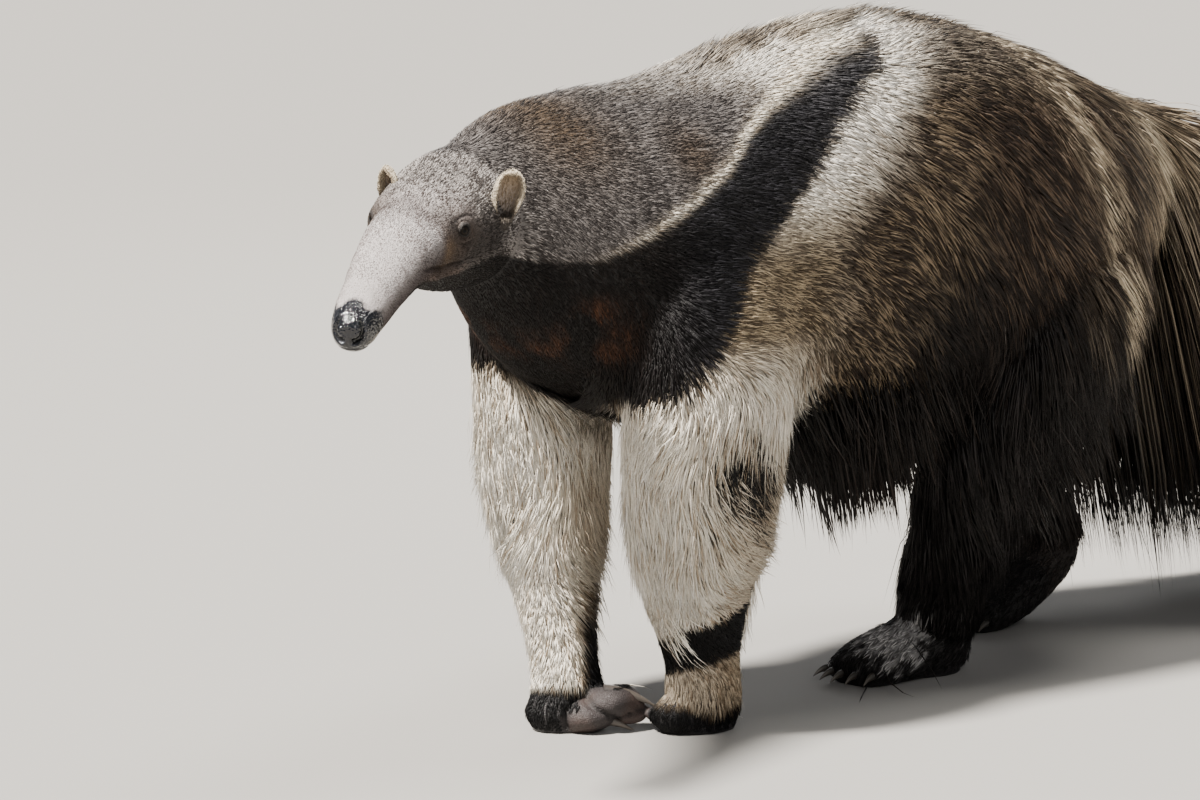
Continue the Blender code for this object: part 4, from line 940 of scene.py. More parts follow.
# %% Head, and all rules together
def mark_head(spot, lay, ragged):
    at, y, f, u = spot["at"], spot["y"], spot["f"], spot["u"]
    side_way, headness = np.abs(spot["l"]), spot["head"]
    middle_line = np.interp(f, HEAD_TABLE[:, 0], (HEAD_TABLE[:, 1] - HEAD_TABLE[:, 2]) / 2)
    half_height = np.interp(f, HEAD_TABLE[:, 0], (HEAD_TABLE[:, 1] + HEAD_TABLE[:, 2]) / 2)
    up_top = smoothstep(-0.15, 0.75, (u - middle_line) / half_height)
    blotch = 0.010 * waves(at, 0.02, 61)
    lay("crown", headness)
    lay("forehead", headness * smoothstep(0.055, 0.135, f + blotch) * up_top)
    lay("mauve", headness * smoothstep(0.110, 0.150, f + blotch))
    lay("snout", headness * smoothstep(0.115, 0.185, f + blotch) * up_top)
    # Soft patches on both sides: kind, forward, up, half length, half height, amount
    for kind, along, height, long, high, amount in (
            ("ash", 0.074, 0.004, 0.034, 0.024, 0.90), ("cheek", 0.124, 0.012, 0.040, 0.026, 1.0),
            ("cheek", 0.160, 0.006, 0.036, 0.012, 0.90), ("ash", 0.098, 0.006, 0.020, 0.020, 0.95),
            ("tan", 0.149, 0.018, 0.014, 0.013, 0.95), ("cheek", 0.115, 0.026, 0.019, 0.014, 1.0),
            ("brow", 0.106, 0.0415, 0.012, 0.0065, 0.55)):
        reach = np.hypot((f - along + 0.3 * blotch) / long, (u - height + 0.2 * blotch) / high)
        lay(kind, headness * amount * bump(reach, 1.0) * (side_way > 0.015))
    under = np.interp(f, LIP_EDGE[:, 0], LIP_EDGE[:, 1]) + 0.25 * blotch
    lay("jaw", smoothstep(-0.026, -0.016, f) * (y < -0.5) * smoothstep(0.003, -0.0025, u - under)
        * (1 - smoothstep(0.222, 0.246, f)))


MARKS = (mark_flank, mark_shoulder, mark_belly_and_tail, mark_forelegs, mark_hind_legs, mark_head)


def markings(spot):
    """Dark colour, pale colour and share of pale hairs at each place."""
    at = spot["at"]
    dark, pale, share = plain_coat("back", len(at))
    ragged = 0.010 * waves(at, 0.05, 21) + 0.005 * waves(at, 0.015, 22)

    def lay(kind, amount):
        nonlocal dark, pale, share
        amount = np.clip(amount, 0, 1)
        dark = laid_over(dark, COATS[kind][0], amount)
        pale = laid_over(pale, COATS[kind][1], amount)
        share = share * (1 - amount) + COATS[kind][2] * amount

    for mark in MARKS:
        mark(spot, lay, ragged)
    return dark, pale, share


print("rules:", len(MARKS))

# %% [markdown]
# ### Paint the skin
#
# The skin shows through the coat, so it is painted by the same rules, darker. Its own small things
# come on top: lips, rims of the eyes, the wet nose and the bare soles and lobes. The creases round the
# eye and cheek, the smile fold, the nostril holes and the valleys between the lobes are painted dark
# as painted shade.

# %% Paint the skin
RIM_COLOUR, NOSE_COLOUR = (0.0062, 0.0042, 0.0035), (0.0030, 0.0033, 0.0050)
PAD_COLOUR = (0.014, 0.012, 0.013)
co, normals = places(skin.data), directions(skin.data)
spot = survey(co, normals)
dark, pale, share = markings(spot)
base = dark * (1 - 0.55 * share)[:, None] + pale * (0.55 * share)[:, None]
base *= (0.62 + 0.38 * spot["head"] * smoothstep(0.05, 0.12, spot["f"]))[:, None]


NOSE_EDGE = 0.3015
to_side = np.abs(spot["l"])
side_lobe = bump(to_side - 0.0125, 0.0055) * smoothstep(0.006, 0.016, spot["u"])
past_edge = (spot["f"] - NOSE_EDGE - 0.0056 * side_lobe
             + 0.0065 * smoothstep(0.014, 0.022, to_side) + 0.30 * np.maximum(0, 0.006 - spot["u"])
             + 0.0013 * waves(co, 0.006, 71) + 0.0010 * waves(co, 0.0022, 73))
wet_nose = smoothstep(-0.0045, 0.0025, past_edge) * spot["head"]
fold = np.zeros(len(co))
lip = np.zeros(len(co))
local = np.stack([spot["l"], -spot["f"], spot["u"]], axis=1)
for side in (1, -1):
    gap, along = away_from(local, path_on_head(SMILE, side))
    fold = np.maximum(fold, bump(gap, 0.0024) * along_fade(along, 0.2, 0.85))
    gap, along = away_from(local, path_on_head(LIP_ROLL, side))
    lip = np.maximum(lip, bump(gap, 0.0046) * along_fade(along, 0.25, 0.8))
# Painted shade: the lid fold, the bag under the eye, the tear line and the cheek lines are painted dark,
# where shade lies in their creases.
crease_shade = np.zeros(len(co))
for side in (1, -1):
    for points, width in ((LID_FOLD, 0.0013), (BAG_LINE, 0.0011), (TEAR_LINE, 0.0013),
                          (CHEEK_LINES[0], 0.0012), (CHEEK_LINES[1], 0.0011), (CHEEK_LINES[2], 0.0010)):
        gap, along = away_from(local, path_on_head(points, side))
        crease_shade = np.maximum(crease_shade, bump(gap, width) * along_fade(along, 0.2, 0.8))
base = laid_over(base, (0.011, 0.0078, 0.0068), 0.62 * crease_shade)
base = laid_over(base, (0.120, 0.080, 0.062), 0.75 * lip)
# Painted shade: the smile fold is painted nearly black, where shade lies in it.
base = laid_over(base, (0.0085, 0.0060, 0.0052), 0.9 * fold)
base = laid_over(base, RIM_COLOUR, 0.92 * stored(skin.data, "rim"))
base = laid_over(base, NOSE_COLOUR, wet_nose)
# Painted shade: the nostril holes are painted black.
base = laid_over(base, (0.004, 0.004, 0.004), stored(skin.data, "nostril"))
# Bare soles, and the knuckle pad of the right forefoot
pad = smoothstep(0.042, 0.028, co[:, 2]) * spot["fore"]
sole = smoothstep(0.006, 0.001, co[:, 2]) + pad
base = laid_over(base, PAD_COLOUR, np.clip(sole, 0, 1) * 0.9)
lobe = spot["lobe"] * spot["fore"]
flushed = smoothstep(-0.6, 0.8, waves(co, 0.022, 72) - 40 * (co[:, 2] - 0.012))
base = laid_over(base, (0.024, 0.0185, 0.0185), lobe * 0.96)
base = laid_over(base, (0.064, 0.039, 0.030), lobe * 0.45 * flushed)
# Painted shade in the valleys between the lobes of the forefeet.
lobe_crease_shade = creases(co) * spot["fore"] * (co[:, 2] < 0.06)
base = laid_over(base, (0.005, 0.0038, 0.0038), 0.90 * lobe_crease_shade)
add_colours(skin.data, "tint", base)
wet = np.clip(wet_nose + 0.05 * stored(skin.data, "rim") + 0.35 * pad * (1 - lobe) + 0.10 * lobe, 0, 1)
add_values(skin.data, "wet", wet)
add_values(skin.data, "pebbled", wet_nose)
print("skin painted; nose vertices", int((wet_nose > 0.5).sum()))

# %% [markdown]
# ## The coat
#
# Each tuft is a thin closed spindle: a root sunk in the skin, one or two three-sided rings and a
# tip. It leaves the skin along the lie of the hair, bends with its fall, and leans to the middle of
# its clump. All tufts of a piece are made at once from arrays, because there are thousands. Root,
# ring and tip have their own colour, which gives the grizzled look of a real coat.

# %% The lie of the hair
def lie_of(spot):
    """The way the hair lies at each place, before it is turned along the skin."""
    x, y, z, normal = spot["x"], spot["y"], spot["z"], spot["normal"]
    steep = np.radians(14 + 36 * smoothstep(-0.42, -0.02, y) + 22 * smoothstep(0.46, 0.30, z)
                       * smoothstep(-0.40, -0.1, y) + 12 * smoothstep(0.02, 0.30, y))
    steep = steep * (1 - 0.7 * smoothstep(0.60, 0.66, z))
    lie = np.stack([np.zeros_like(y), np.cos(steep), -np.sin(steep)], axis=1)

    def turn(way, amount):
        nonlocal lie
        way = unit(np.broadcast_to(way, lie.shape).astype(float))
        lie = lie * (1 - amount)[:, None] + way * amount[:, None]

    turn(np.array((0.0, 0.75, -0.65)), spot["neck"] * 0.7)
    throat = (1 - smoothstep(0.40, 0.47, z)) * (1 - smoothstep(-0.50, -0.40, y))
    turn(np.array((0.0, 0.45, -0.90)), throat)
    for name in LEGS:
        across, along = spot[name + "_way"]
        backward = (0.75 if "fore" in name else 0.35) * along + 0.18
        fan = np.stack([0.30 * across, backward, -np.ones_like(x)], axis=1)
        if name == "foreleg_left":
            low_part = smoothstep(0.30, 0.20, z) * smoothstep(0.045, 0.10, z)
            fan[:, 1] += 1.25 * low_part * smoothstep(-0.9, 0.1, along + 0.5 * across)
        turn(fan, spot[name])
    turn(np.array((0.0, -0.9, -0.5)), spot["hindfoot"] * (z < 0.085))
    trailing = 0.45 + 0.75 * np.clip((y - 0.4) / 0.65, 0, 1)
    turn(np.stack([np.zeros_like(y), trailing, -np.ones_like(y)], axis=1), spot["tail"])
    back = -np.array(FORWARD)[None, :] * np.ones((len(y), 1)) - np.array(UP)[None, :] * (
        0.35 * smoothstep(0.01, -0.03, spot["u"]))[:, None]
    turn(back, spot["head"])
    return unit(lie)


print("mean way of the hair:", lie_of(survey(co, normals)).mean(axis=0).round(2))

# %% [markdown]
# The same kind of rules gives the size of a hair: length, width, and how far it stands off the
# skin. It is smallest on face and feet and longest on the flank, the thighs and the tail.

# %% The growth of the hair
def growth(spot):
    """Length, width and lift of the hair at each place."""
    y, z, x = spot["y"], spot["z"], np.abs(spot["x"])
    length = np.full(len(y), 0.026)
    width = np.full(len(y), 0.0021)
    lift = np.full(len(y), 0.26)

    def set_to(amount, long, wide, up):
        nonlocal length, width, lift
        amount = np.clip(amount, 0, 1)
        length = length * (1 - amount) + long * amount
        width = width * (1 - amount) + wide * amount
        lift = lift * (1 - amount) + up * amount

    stripe_top, _ = stripe_at(y)
    front = 1 - smoothstep(-0.36, -0.16, y)
    set_to(front * smoothstep(0.0, 0.02, z - stripe_top), 0.0110, 0.00118, 0.27)
    set_to(front * smoothstep(0.01, -0.01, z - stripe_top), 0.018, 0.0016, 0.20)
    set_to(front * bump(z - stripe_top, 0.012), 0.0105, 0.0013, 0.20)
    set_to(smoothstep(-0.25, -0.02, y) * smoothstep(0.60, 0.45, z), 0.046, 0.0023, 0.24)
    set_to(smoothstep(-0.25, -0.05, y) * smoothstep(0.40, 0.30, z), 0.066, 0.0026, 0.26)
    set_to(smoothstep(0.05, 0.22, y), 0.058, 0.0026, 0.22)
    crest = smoothstep(0.050, 0.012, x) * smoothstep(0.56, 0.60, z + 0.12 * smoothstep(0.1, 0.4, y))
    set_to(crest * smoothstep(-0.50, -0.15, y), 0.055, 0.0023, 0.42)
    set_to(crest * (1 - smoothstep(-0.50, -0.30, y)), 0.026, 0.0018, 0.55)
    set_to(spot["fore"], 0.040, 0.0017, 0.34)
    set_to(spot["fore"] * smoothstep(0.19, 0.14, z), 0.023, 0.0015, 0.30)
    over_band = z - 0.0915 - 0.0140 * (spot["foreleg_left_way"][0] + spot["foreleg_left_way"][1])
    set_to(spot["foreleg_left"] * smoothstep(0.060, 0.035, over_band), 0.014, 0.0014, 0.26)
    set_to(spot["fore"] * smoothstep(0.075, 0.045, z), 0.018, 0.0016, 0.30)
    set_to(spot["fore"] * smoothstep(0.030, 0.015, z), 0.010, 0.0014, 0.22)
    from_lobe = lobe_depths(spot["at"]).min(axis=0)
    set_to(1 - smoothstep(1.25, 1.55, from_lobe), 0.0085, 0.0013, 0.17)
    set_to(spot["hind"], 0.062, 0.0026, 0.24)
    set_to(spot["hind"] * smoothstep(0.17, 0.09, z), 0.030, 0.0021, 0.24)
    set_to(spot["hindfoot"] * (z < 0.1), 0.013, 0.0017, 0.22)
    set_to(spot["tail"], 0.110, 0.0032, 0.20)
    set_to(spot["tail"] * smoothstep(0.90, 1.02, y), 0.060, 0.0026, 0.16)
    set_to(spot["neck"], 0.0078, 0.00104, 0.33)
    set_to(spot["neck"] * crest, 0.015, 0.0013, 0.60)
    f, u = spot["f"], spot["u"]
    set_to(spot["head"], 0.0062, 0.00110, 0.30)
    set_to(spot["head"] * smoothstep(0.06, 0.14, f), 0.0044, 0.00092, 0.24)
    set_to(spot["head"] * smoothstep(0.15, 0.24, f), 0.0027, 0.00070, 0.17)
    set_to(spot["head"] * smoothstep(0.275, 0.300, f), 0.0015, 0.00050, 0.12)
    eye_gap = np.hypot(f - EYE_FORWARD, u - EYE_UP)
    set_to(spot["head"] * (1 - smoothstep(0.010, 0.022, eye_gap)), 0.0021, 0.00060, 0.14)
    set_to(spot["head"] * bump(np.hypot(f - 0.140, (u - 0.006) * 1.5), 0.030), 0.0030, 0.00075, 0.16)
    set_to(smoothstep(0.018, 0.009, z), 0.0055, 0.0013, 0.14)
    return length, width, lift


print("longest hair:", round(float(growth(survey(co, normals))[0].max()), 3), "m")

# %% [markdown]
# ### Choose the roots
#
# Roots are scattered over the skin's triangles, more where the hair is fine. Bare places get none:
# the wet nose, the rims of the eyes, the fold of the cheek, the soles and the forefeet's lobes.

# %% Scatter roots over the skin
def skin_triangles():
    mesh = skin.data
    mesh.calc_loop_triangles()
    flat = np.empty(len(mesh.loop_triangles) * 3, np.int32)
    mesh.loop_triangles.foreach_get("vertices", flat)
    return flat.reshape(-1, 3)


tri = skin_triangles()
corner = co[tri]
area = 0.5 * np.linalg.norm(np.cross(corner[:, 1] - corner[:, 0], corner[:, 2] - corner[:, 0]), axis=1)
middle = corner.mean(axis=1)
middle_normal = unit(normals[tri].mean(axis=1))
there = survey(middle, middle_normal)
rim = stored(skin.data, "rim")
bare = np.maximum.reduce([wet_nose[tri].mean(axis=1) > 0.8, rim[tri].mean(axis=1) > 0.45,
                          fold[tri].mean(axis=1) > 0.5, middle[:, 2] < 0.004,
                          lobe[tri].mean(axis=1) > 0.45]).astype(float)
long_here, wide_here, _ = growth(there)
print("skin area", round(float(area.sum()), 2), "square metres")

# %% [markdown]
# The coat comes in pieces, so that none gets too large to handle. Each says how many tufts it has,
# how many rings a tuft has, its finish, and how its hair clumps: the size of a clump, and how far
# the tips are drawn together.

# %% Pieces of the coat
PIECES = (("coat_head", 28000, 1, "coat_face", (0.0035, 0.15)),
          ("coat_neck", 30000, 1, "coat_grizzled", (0.006, 0.22)),
          ("coat_shoulder", 30000, 1, "coat_grizzled", (0.008, 0.28)),
          ("coat_flank", 25500, 1, "coat_grizzled", (0.012, 0.42)),
          ("coat_rump", 22000, 1, "coat_grizzled", (0.012, 0.42)),
          ("coat_foreleg_left", 24000, 1, "coat_pale", (0.010, 0.36)),
          ("coat_foreleg_right", 19000, 1, "coat_pale", (0.010, 0.36)),
          ("coat_hindleg_left", 10000, 1, "coat_dark", (0.012, 0.42)),
          ("coat_hindleg_right", 8000, 1, "coat_dark", (0.012, 0.42)),
          ("coat_tail_root", 3200, 2, "coat_dark", (0.012, 0.42)),
          ("coat_tail_end", 2300, 2, "coat_dark", (0.012, 0.42)))


def piece_of(spot):
    """The number of the coat piece that each place belongs to."""
    y = spot["y"]
    number = np.select([y < -0.47, y < -0.20, y < 0.06, y < 0.34, y < 0.62], [1, 2, 3, 4, 9], 10)
    for k, name in enumerate(("foreleg_left", "foreleg_right", "hindleg_left", "hindleg_right"), 5):
        leg = spot[name]
        if "hind" in name:
            leg = np.maximum(leg, spot["hindfoot_" + name.split("_")[1]])
        number = np.where(leg > 0.5, k, number)
    return np.where(spot["head"] > 0.5, 0, number)


def roots_on(weight, count, rng):
    """Roots spread evenly over the triangles, as thick as their weights: places and normals."""
    steps = np.cumsum(weight)
    chosen = np.searchsorted(steps, (np.arange(count) + rng.random(count)) / count * steps[-1])
    chosen = np.minimum(chosen, len(tri) - 1)
    r, s = np.sqrt(rng.random(count)), rng.random(count)
    shares = np.stack([1 - r, r * (1 - s), r * s], axis=1)[:, :, None]
    return (corner[chosen] * shares).sum(axis=1), unit((normals[tri[chosen]] * shares).sum(axis=1))


home = piece_of(there)
print("triangles of skin for each piece:", np.bincount(home).tolist())

# %% [markdown]
# ### Patches for the colours
#
# A baked picture needs each tuft to have a small patch of its own. The patch sits where the root is
# on an unrolled skin: round the axis of its part in one direction, along the part in the other.

# %% Unroll the skin
PATCH = 0.003


def on_picture(share):
    """Keeps a place from 0 to 1 far enough inside the picture for a whole patch."""
    return PATCH + (1 - 2 * PATCH) * share * 0.995


def unrolled(number, spot):
    """Place of each root on the unrolled skin of its piece, both ways from 0 to 1."""
    x, y, z = spot["x"], spot["y"], spot["z"]
    if number == 0:
        around, along = np.arctan2(spot["l"], spot["u"] + 0.008), spot["f"]
    elif number in (5, 6, 7, 8):
        across, lengthways = spot[PIECES[number][0][5:] + "_way"]
        around, along = np.arctan2(across, lengthways), z - 0.25 * lengthways * (z < 0.09)
    else:
        row = np.array(TAIL if number > 8 else TRUNK)
        centre = np.interp(y, row[:, 0], (row[:, 1] + row[:, 2]) / 2)
        around, along = np.arctan2(x, z - centre), y
    return (on_picture((along - along.min()) / np.ptp(along)),
            on_picture(around / (2 * math.pi) + 0.5))


print("patches side by side in a picture:", int(1 / PATCH))

# %% [markdown]
# ### Build the tufts
#
# The pattern of faces is the same for every tuft, so one small list is repeated with an offset.
# Tips of neighbours are drawn together: space is parted into small shaken cells, and each tip moves
# towards the mean tip of its cell.

# %% Pattern and clumps
def tuft_pattern(rings):
    """Faces of one tuft as corner numbers, with each corner's place on its patch."""
    faces, patch = [], []
    last = rings * 3 + 1
    stations = [0.0] + [(k + 1) / (rings + 1) for k in range(rings)] + [1.0]
    bands = ((0.0, 0.33), (0.33, 0.66), (0.70, 1.0))
    for j, (low, high) in enumerate(bands):
        a, b = ((0, 2), (2, 1), (1, 0))[j]
        mid = (low + high) / 2
        faces.append((0, 1 + a, 1 + b))
        patch.append(((0, mid), (stations[1], low), (stations[1], high)))
        for k in range(rings - 1):
            near_ring, far_ring = 1 + 3 * k, 4 + 3 * k
            s, e = stations[k + 1], stations[k + 2]
            faces.append((near_ring + a, far_ring + a, far_ring + b))
            patch.append(((s, low), (e, low), (e, high)))
            faces.append((near_ring + a, far_ring + b, near_ring + b))
            patch.append(((s, low), (e, high), (s, high)))
        ring = 1 + 3 * (rings - 1)
        faces.append((ring + a, last, ring + b))
        patch.append(((stations[-2], low), (1, mid), (stations[-2], high)))
    return np.array(faces), np.array(patch)


def clumped(root, tip, size, pull, seed):
    """Draws the tips of neighbours together, so that hair gathers into small points."""
    shaken = root + 0.35 * size * np.stack([waves(root, size * 2.2, seed + k) for k in range(3)], axis=1)
    cell = np.floor(shaken / size).astype(np.int64)
    key = cell[:, 0] * 73856093 ^ cell[:, 1] * 19349663 ^ cell[:, 2] * 83492791
    _, index = np.unique(key, return_inverse=True)
    count = np.bincount(index)[:, None]
    mean_tip = np.stack([np.bincount(index, tip[:, k]) for k in range(3)], axis=1) / count
    return tip + (mean_tip[index] - tip) * pull


print("triangles of a tuft with one ring:", len(tuft_pattern(1)[0]), "with two:", len(tuft_pattern(2)[0]))

# %% [markdown]
# A mesh is filled fastest through its own arrays: all corners, all faces, then the colours and the
# place of each patch. Every vertex stays above the floor.

# %% From roots to a mesh
def build_tufts(name, root, normal, lie, length, width, fall, colours, uv, rings, seed, clump):
    """One mesh of closed tufts from arrays."""
    count = len(root)
    tip = root + (lie + fall) * length[:, None]
    tip = clumped(root, tip, *clump, seed)
    bend = tip - root - lie * length[:, None]
    side = unit(np.cross(lie, normal))
    above = unit(np.cross(side, lie))
    base = root - normal * (0.25 * width[:, None] + 0.0006)
    pattern, patch = tuft_pattern(rings)
    vertices = np.empty((count, 3 * rings + 2, 3))
    tints = np.empty((count, 3 * rings + 2, 3))
    vertices[:, 0], vertices[:, -1] = base, tip
    vertices[:, -1, 2] = np.maximum(vertices[:, -1, 2], 0.0015)
    tints[:, 0], tints[:, -1] = colours[0], colours[2]
    for k in range(rings):
        t = (0.36,)[k] if rings == 1 else (0.25, 0.66)[k]
        wide = 1.0 if rings == 1 else (1.0, 0.85)[k]
        spine = root + lie * (length * t)[:, None] + bend * (t * t)
        spine[:, 2] = np.maximum(spine[:, 2], 0.0030)
        for j, (s, a) in enumerate(((-0.5, 0.0), (0.5, 0.0), (0.0, 0.36))):
            vertices[:, 1 + 3 * k + j] = spine + (side * s + above * a) * (width * wide)[:, None]
        blend = smoothstep(0.0, 1.0, t) if rings == 1 else (0.35, 0.8)[k]
        tints[:, 1 + 3 * k:4 + 3 * k] = (colours[0] * (1 - blend) + colours[1] * blend)[:, None, :]
    mesh = bpy.data.meshes.new(name)
    vertex_total, face_total = count * (3 * rings + 2), count * len(pattern)
    mesh.vertices.add(vertex_total)
    mesh.vertices.foreach_set("co", vertices.astype(np.float32).ravel())
    corners = (pattern[None] + (np.arange(count) * (3 * rings + 2))[:, None, None]).reshape(-1)
    mesh.loops.add(face_total * 3)
    mesh.loops.foreach_set("vertex_index", corners.astype(np.int32))
    mesh.polygons.add(face_total)
    mesh.polygons.foreach_set("loop_start", np.arange(face_total, dtype=np.int32) * 3)
    mesh.update(calc_edges=True)
    mesh.polygons.foreach_set("use_smooth", np.ones(face_total, bool))
    add_colours(mesh, "tint", tints.reshape(-1, 3))
    layer = mesh.uv_layers.new(name="OFBake")
    spread = np.stack([uv[0], uv[1]], axis=1)[:, None, None, :] + patch[None] * PATCH
    layer.data.foreach_set("uv", spread.astype(np.float32).ravel())
    made = bpy.data.objects.new(name, mesh)
    bpy.context.scene.collection.objects.link(made)
    return made


print("vertices of a tuft with one and two rings:", [3 * rings + 2 for rings in (1, 2)])

# %% [markdown]
# ### Grow the coat
#
# Each hair gets its own luck: a little longer or shorter, darker or paler, turned to one side. Some
# are guard hairs, longer and thinner than the rest.

# %% Grow every piece
def hair_colours(spot, rng, count, kind=None):
    """Colours of root, ring and tip: most hairs are dark at the root, some end pale."""
    dark, pale, share = plain_coat(kind, count) if kind else markings(spot)
    patchy = 0.15 * waves(spot["at"], 0.018, 81) + 0.22 * waves(spot["at"], 0.0045, 82)
    is_pale = smoothstep(-0.05, 0.05, share + patchy - rng.random(count))
    light = rng.uniform(0.66, 1.26, count)[:, None]
    tip = (dark * (1 - is_pale)[:, None] * 1.25 + pale * is_pale[:, None]) * light
    mostly_pale = smoothstep(0.55, 0.82, share)
    early = is_pale * (0.50 + 0.42 * np.maximum(spot["head"], mostly_pale))
    ring = (dark * (1 - early)[:, None] + pale * early[:, None]) * light
    # The root is darker than the coat's dark colour: partly the hair's own dark base, partly painted shade
    # deep in the coat.
    root = dark * 0.62 + pale * (0.05 + 0.25 * mostly_pale)[:, None]
    return root, ring, tip


def grow(number):
    """One piece of the coat, with the finish it wears."""
    name, count, rings, slot, clump = PIECES[number]
    rng = np.random.default_rng(100 + number)
    weight = area * (home == number) * (1 - bare) / (long_here * wide_here) ** 0.45
    root, normal = roots_on(weight, count, rng)
    spot = survey(root, normal)
    length, width, lift = growth(spot)
    lie = lie_of(spot)
    lie = unit(lie - normal * (lie * normal).sum(axis=1)[:, None])
    side = np.cross(normal, lie)
    loose = 0.35 + 0.65 * smoothstep(0.012, 0.030, length)
    swirl = (0.22 * waves(root, 0.09, 91) + 0.16 * waves(root, 0.025, 92)) * loose
    swirl = swirl + rng.normal(0, 0.12, count)
    fluffy = spot["fore"] * smoothstep(0.03, 0.08, spot["z"])
    swirl = swirl + fluffy * (0.30 * waves(root, 0.045, 93) + rng.normal(0, 0.26, count))
    guard = rng.random(count) < 0.06
    lift = lift * rng.uniform(0.6, 1.4, count) * np.where(guard, 1.5, 1.0)
    length = length * rng.uniform(0.72, 1.20, count) * np.where(guard, 1.35, 1.0)
    width = width * rng.uniform(0.75, 1.2, count) * np.where(guard, 0.62, 1.0)
    lie = unit(lie * np.cos(swirl)[:, None] + side * np.sin(swirl)[:, None] + normal * lift[:, None])
    fall = -normal * (lift * 0.45)[:, None] + side * rng.normal(0, 0.07, count)[:, None]
    droop = smoothstep(0.02, 0.06, length) * 0.22
    fall = fall + np.array((0, 0, -1.0)) * droop[:, None] * (normal[:, 2] < 0.75)[:, None]
    made = build_tufts(name, root, normal, lie, length, width, fall, hair_colours(spot, rng, count),
                       unrolled(number, spot), rings, number * 7, clump)
    return made, slot


coat = [grow(number) for number in range(len(PIECES))]
for made, _ in coat:
    print(made.name, triangles(made), "triangles")

# %% [markdown]
# ### Long hair
#
# The tail carries a curtain of very long hair down both sides and past its end. These are tufts
# with two rings, so that they can hang in a curve. Their length is what reaches from the root to
# the hem of the curtain.

# %% Curtains of the tail
TAIL_HEM, TAIL_HEM_RISES, TAIL_TIP, LONGEST_HAIR = 0.035, 0.90, 1.205, 0.44


def tail_reach(along):
    """How far down the hair of the tail hangs, at a place along it."""
    return TAIL_HEM + np.maximum(0.0, along - TAIL_HEM_RISES) * 0.32


def hang(name, slot, rng, root, normal, lie, length, width, fall, spot, kind, clump, tips=None):
    """A piece of long hair; with `tips`, its lower part turns to the colours of another coat."""
    colours = hair_colours(spot, rng, len(root), kind)
    if tips:
        colours = (colours[1], *hair_colours(spot, rng, len(root), tips)[1:])
    around = np.arctan2(spot["x"], spot["z"] - 0.45)
    uv = (on_picture((spot["y"] - spot["y"].min()) / np.ptp(spot["y"])),
          on_picture(around / (2 * math.pi) + 0.5))
    made = build_tufts(name, root, normal, lie, length, width, fall, colours, uv, 2, len(name), clump)
    coat.append((made, slot))
    print(name, triangles(made), "triangles")
    return made


def tail_curtain(name, count, low, high, seed, kind="tail"):
    """Long hair from one stretch of the tail, three times as thick at its end."""
    rng = np.random.default_rng(seed)
    where = (there["y"] > low) * (there["y"] < high) * (there["z"] > 0.28)
    root, normal = roots_on(area * (where * (1.0 + (there["y"] > 0.98) * 3)), count, rng)
    spot = survey(root, normal)
    y, z = spot["y"], spot["z"]
    swing = 0.20 + 0.75 * np.clip((y - 0.40) / 0.65, 0, None)
    room = np.maximum(z - tail_reach(y), 0.06)
    end = smoothstep(0.96, 1.03, y)
    share = 1.04 - 0.34 * rng.random(count) ** 1.6
    length = np.minimum(room * share * (1 - 0.45 * end), LONGEST_HAIR)
    side = np.sign(spot["x"] + rng.normal(0, 0.004, count))
    lie = np.stack([side * rng.uniform(0.02, 0.30, count),
                    swing * rng.uniform(0.7, 1.25, count) + 0.9 * end,
                    -np.ones(count) * (1 - 0.75 * end * rng.random(count))], axis=1)
    lie = unit(lie) + normal * 0.10
    stretch = 1 / np.maximum(-unit(lie)[:, 2], 0.35)
    length = np.minimum(length * (1 + 0.5 * (stretch - 1)), LONGEST_HAIR)
    fall = np.stack([-side * rng.uniform(0.02, 0.20, count), rng.normal(0.03, 0.08, count),
                     -rng.uniform(0.0, 0.12, count)], axis=1)
    lie = unit(lie)
    # No hair passes the end of the brush
    room_behind = np.maximum(TAIL_TIP - rng.uniform(0, 0.05, count) - y, 0.02)
    length = np.minimum(length, room_behind / np.maximum(lie[:, 1] + fall[:, 1], 0.05))
    return hang(name, "coat_dark", rng, root, normal, lie, length, rng.uniform(0.0016, 0.0036, count),
                fall, spot, kind, (0.034, 0.62), "tail")


tail_curtain("tail_curtain_root", 1700, 0.315, 0.46, 203, None)
tail_curtain("tail_curtain_front", 5100, 0.42, 0.68, 201)
tail_curtain("tail_curtain_back", 5000, 0.68, 1.05, 202)
print("pieces of hair so far:", len(coat))

# %% [markdown]
# Shorter fringes hang from the belly, the flank before the thigh, the backs of the thighs and the
# backs of the forelegs, and some cream hairs fall over the black band of the left wrist.

# %% Fringes
def fringe(name, slot, count, seed, where, length, lie, fall, width=0.0020, kind=None, spread=0.10):
    """Hair of one length that hangs from the chosen places, all in about one direction."""
    rng = np.random.default_rng(seed)
    root, normal = roots_on(area * where, count, rng)
    spot = survey(root, normal)
    way = unit(np.tile(np.array(lie, float), (count, 1)) + rng.normal(0, spread, (count, 3)))
    into_skin = (way * normal).sum(axis=1) * (normal[:, 2] > -0.3)
    way = unit(way - normal * into_skin[:, None] + normal * 0.12)
    long = length * rng.uniform(0.55, 1.05, count)
    return hang(name, slot, rng, root, normal, way, long, width * rng.uniform(0.6, 1.2, count),
                np.tile(np.array(fall, float), (count, 1)) + rng.normal(0, 0.07, (count, 3)), spot, kind,
                (0.018, 0.62))


low_side = smoothstep(0.36, 0.29, there["z"]) * (1 - there["fore"]) * (1 - 0.6 * there["hind"])
fringe("belly_fringe", "coat_dark", 3300, 211, low_side * (there["y"] > -0.30) * (there["y"] < 0.10)
       * (there["z"] > 0.22), 0.085, (0, 0.45, -1.0), (0, 0.10, -0.10), kind="dark")
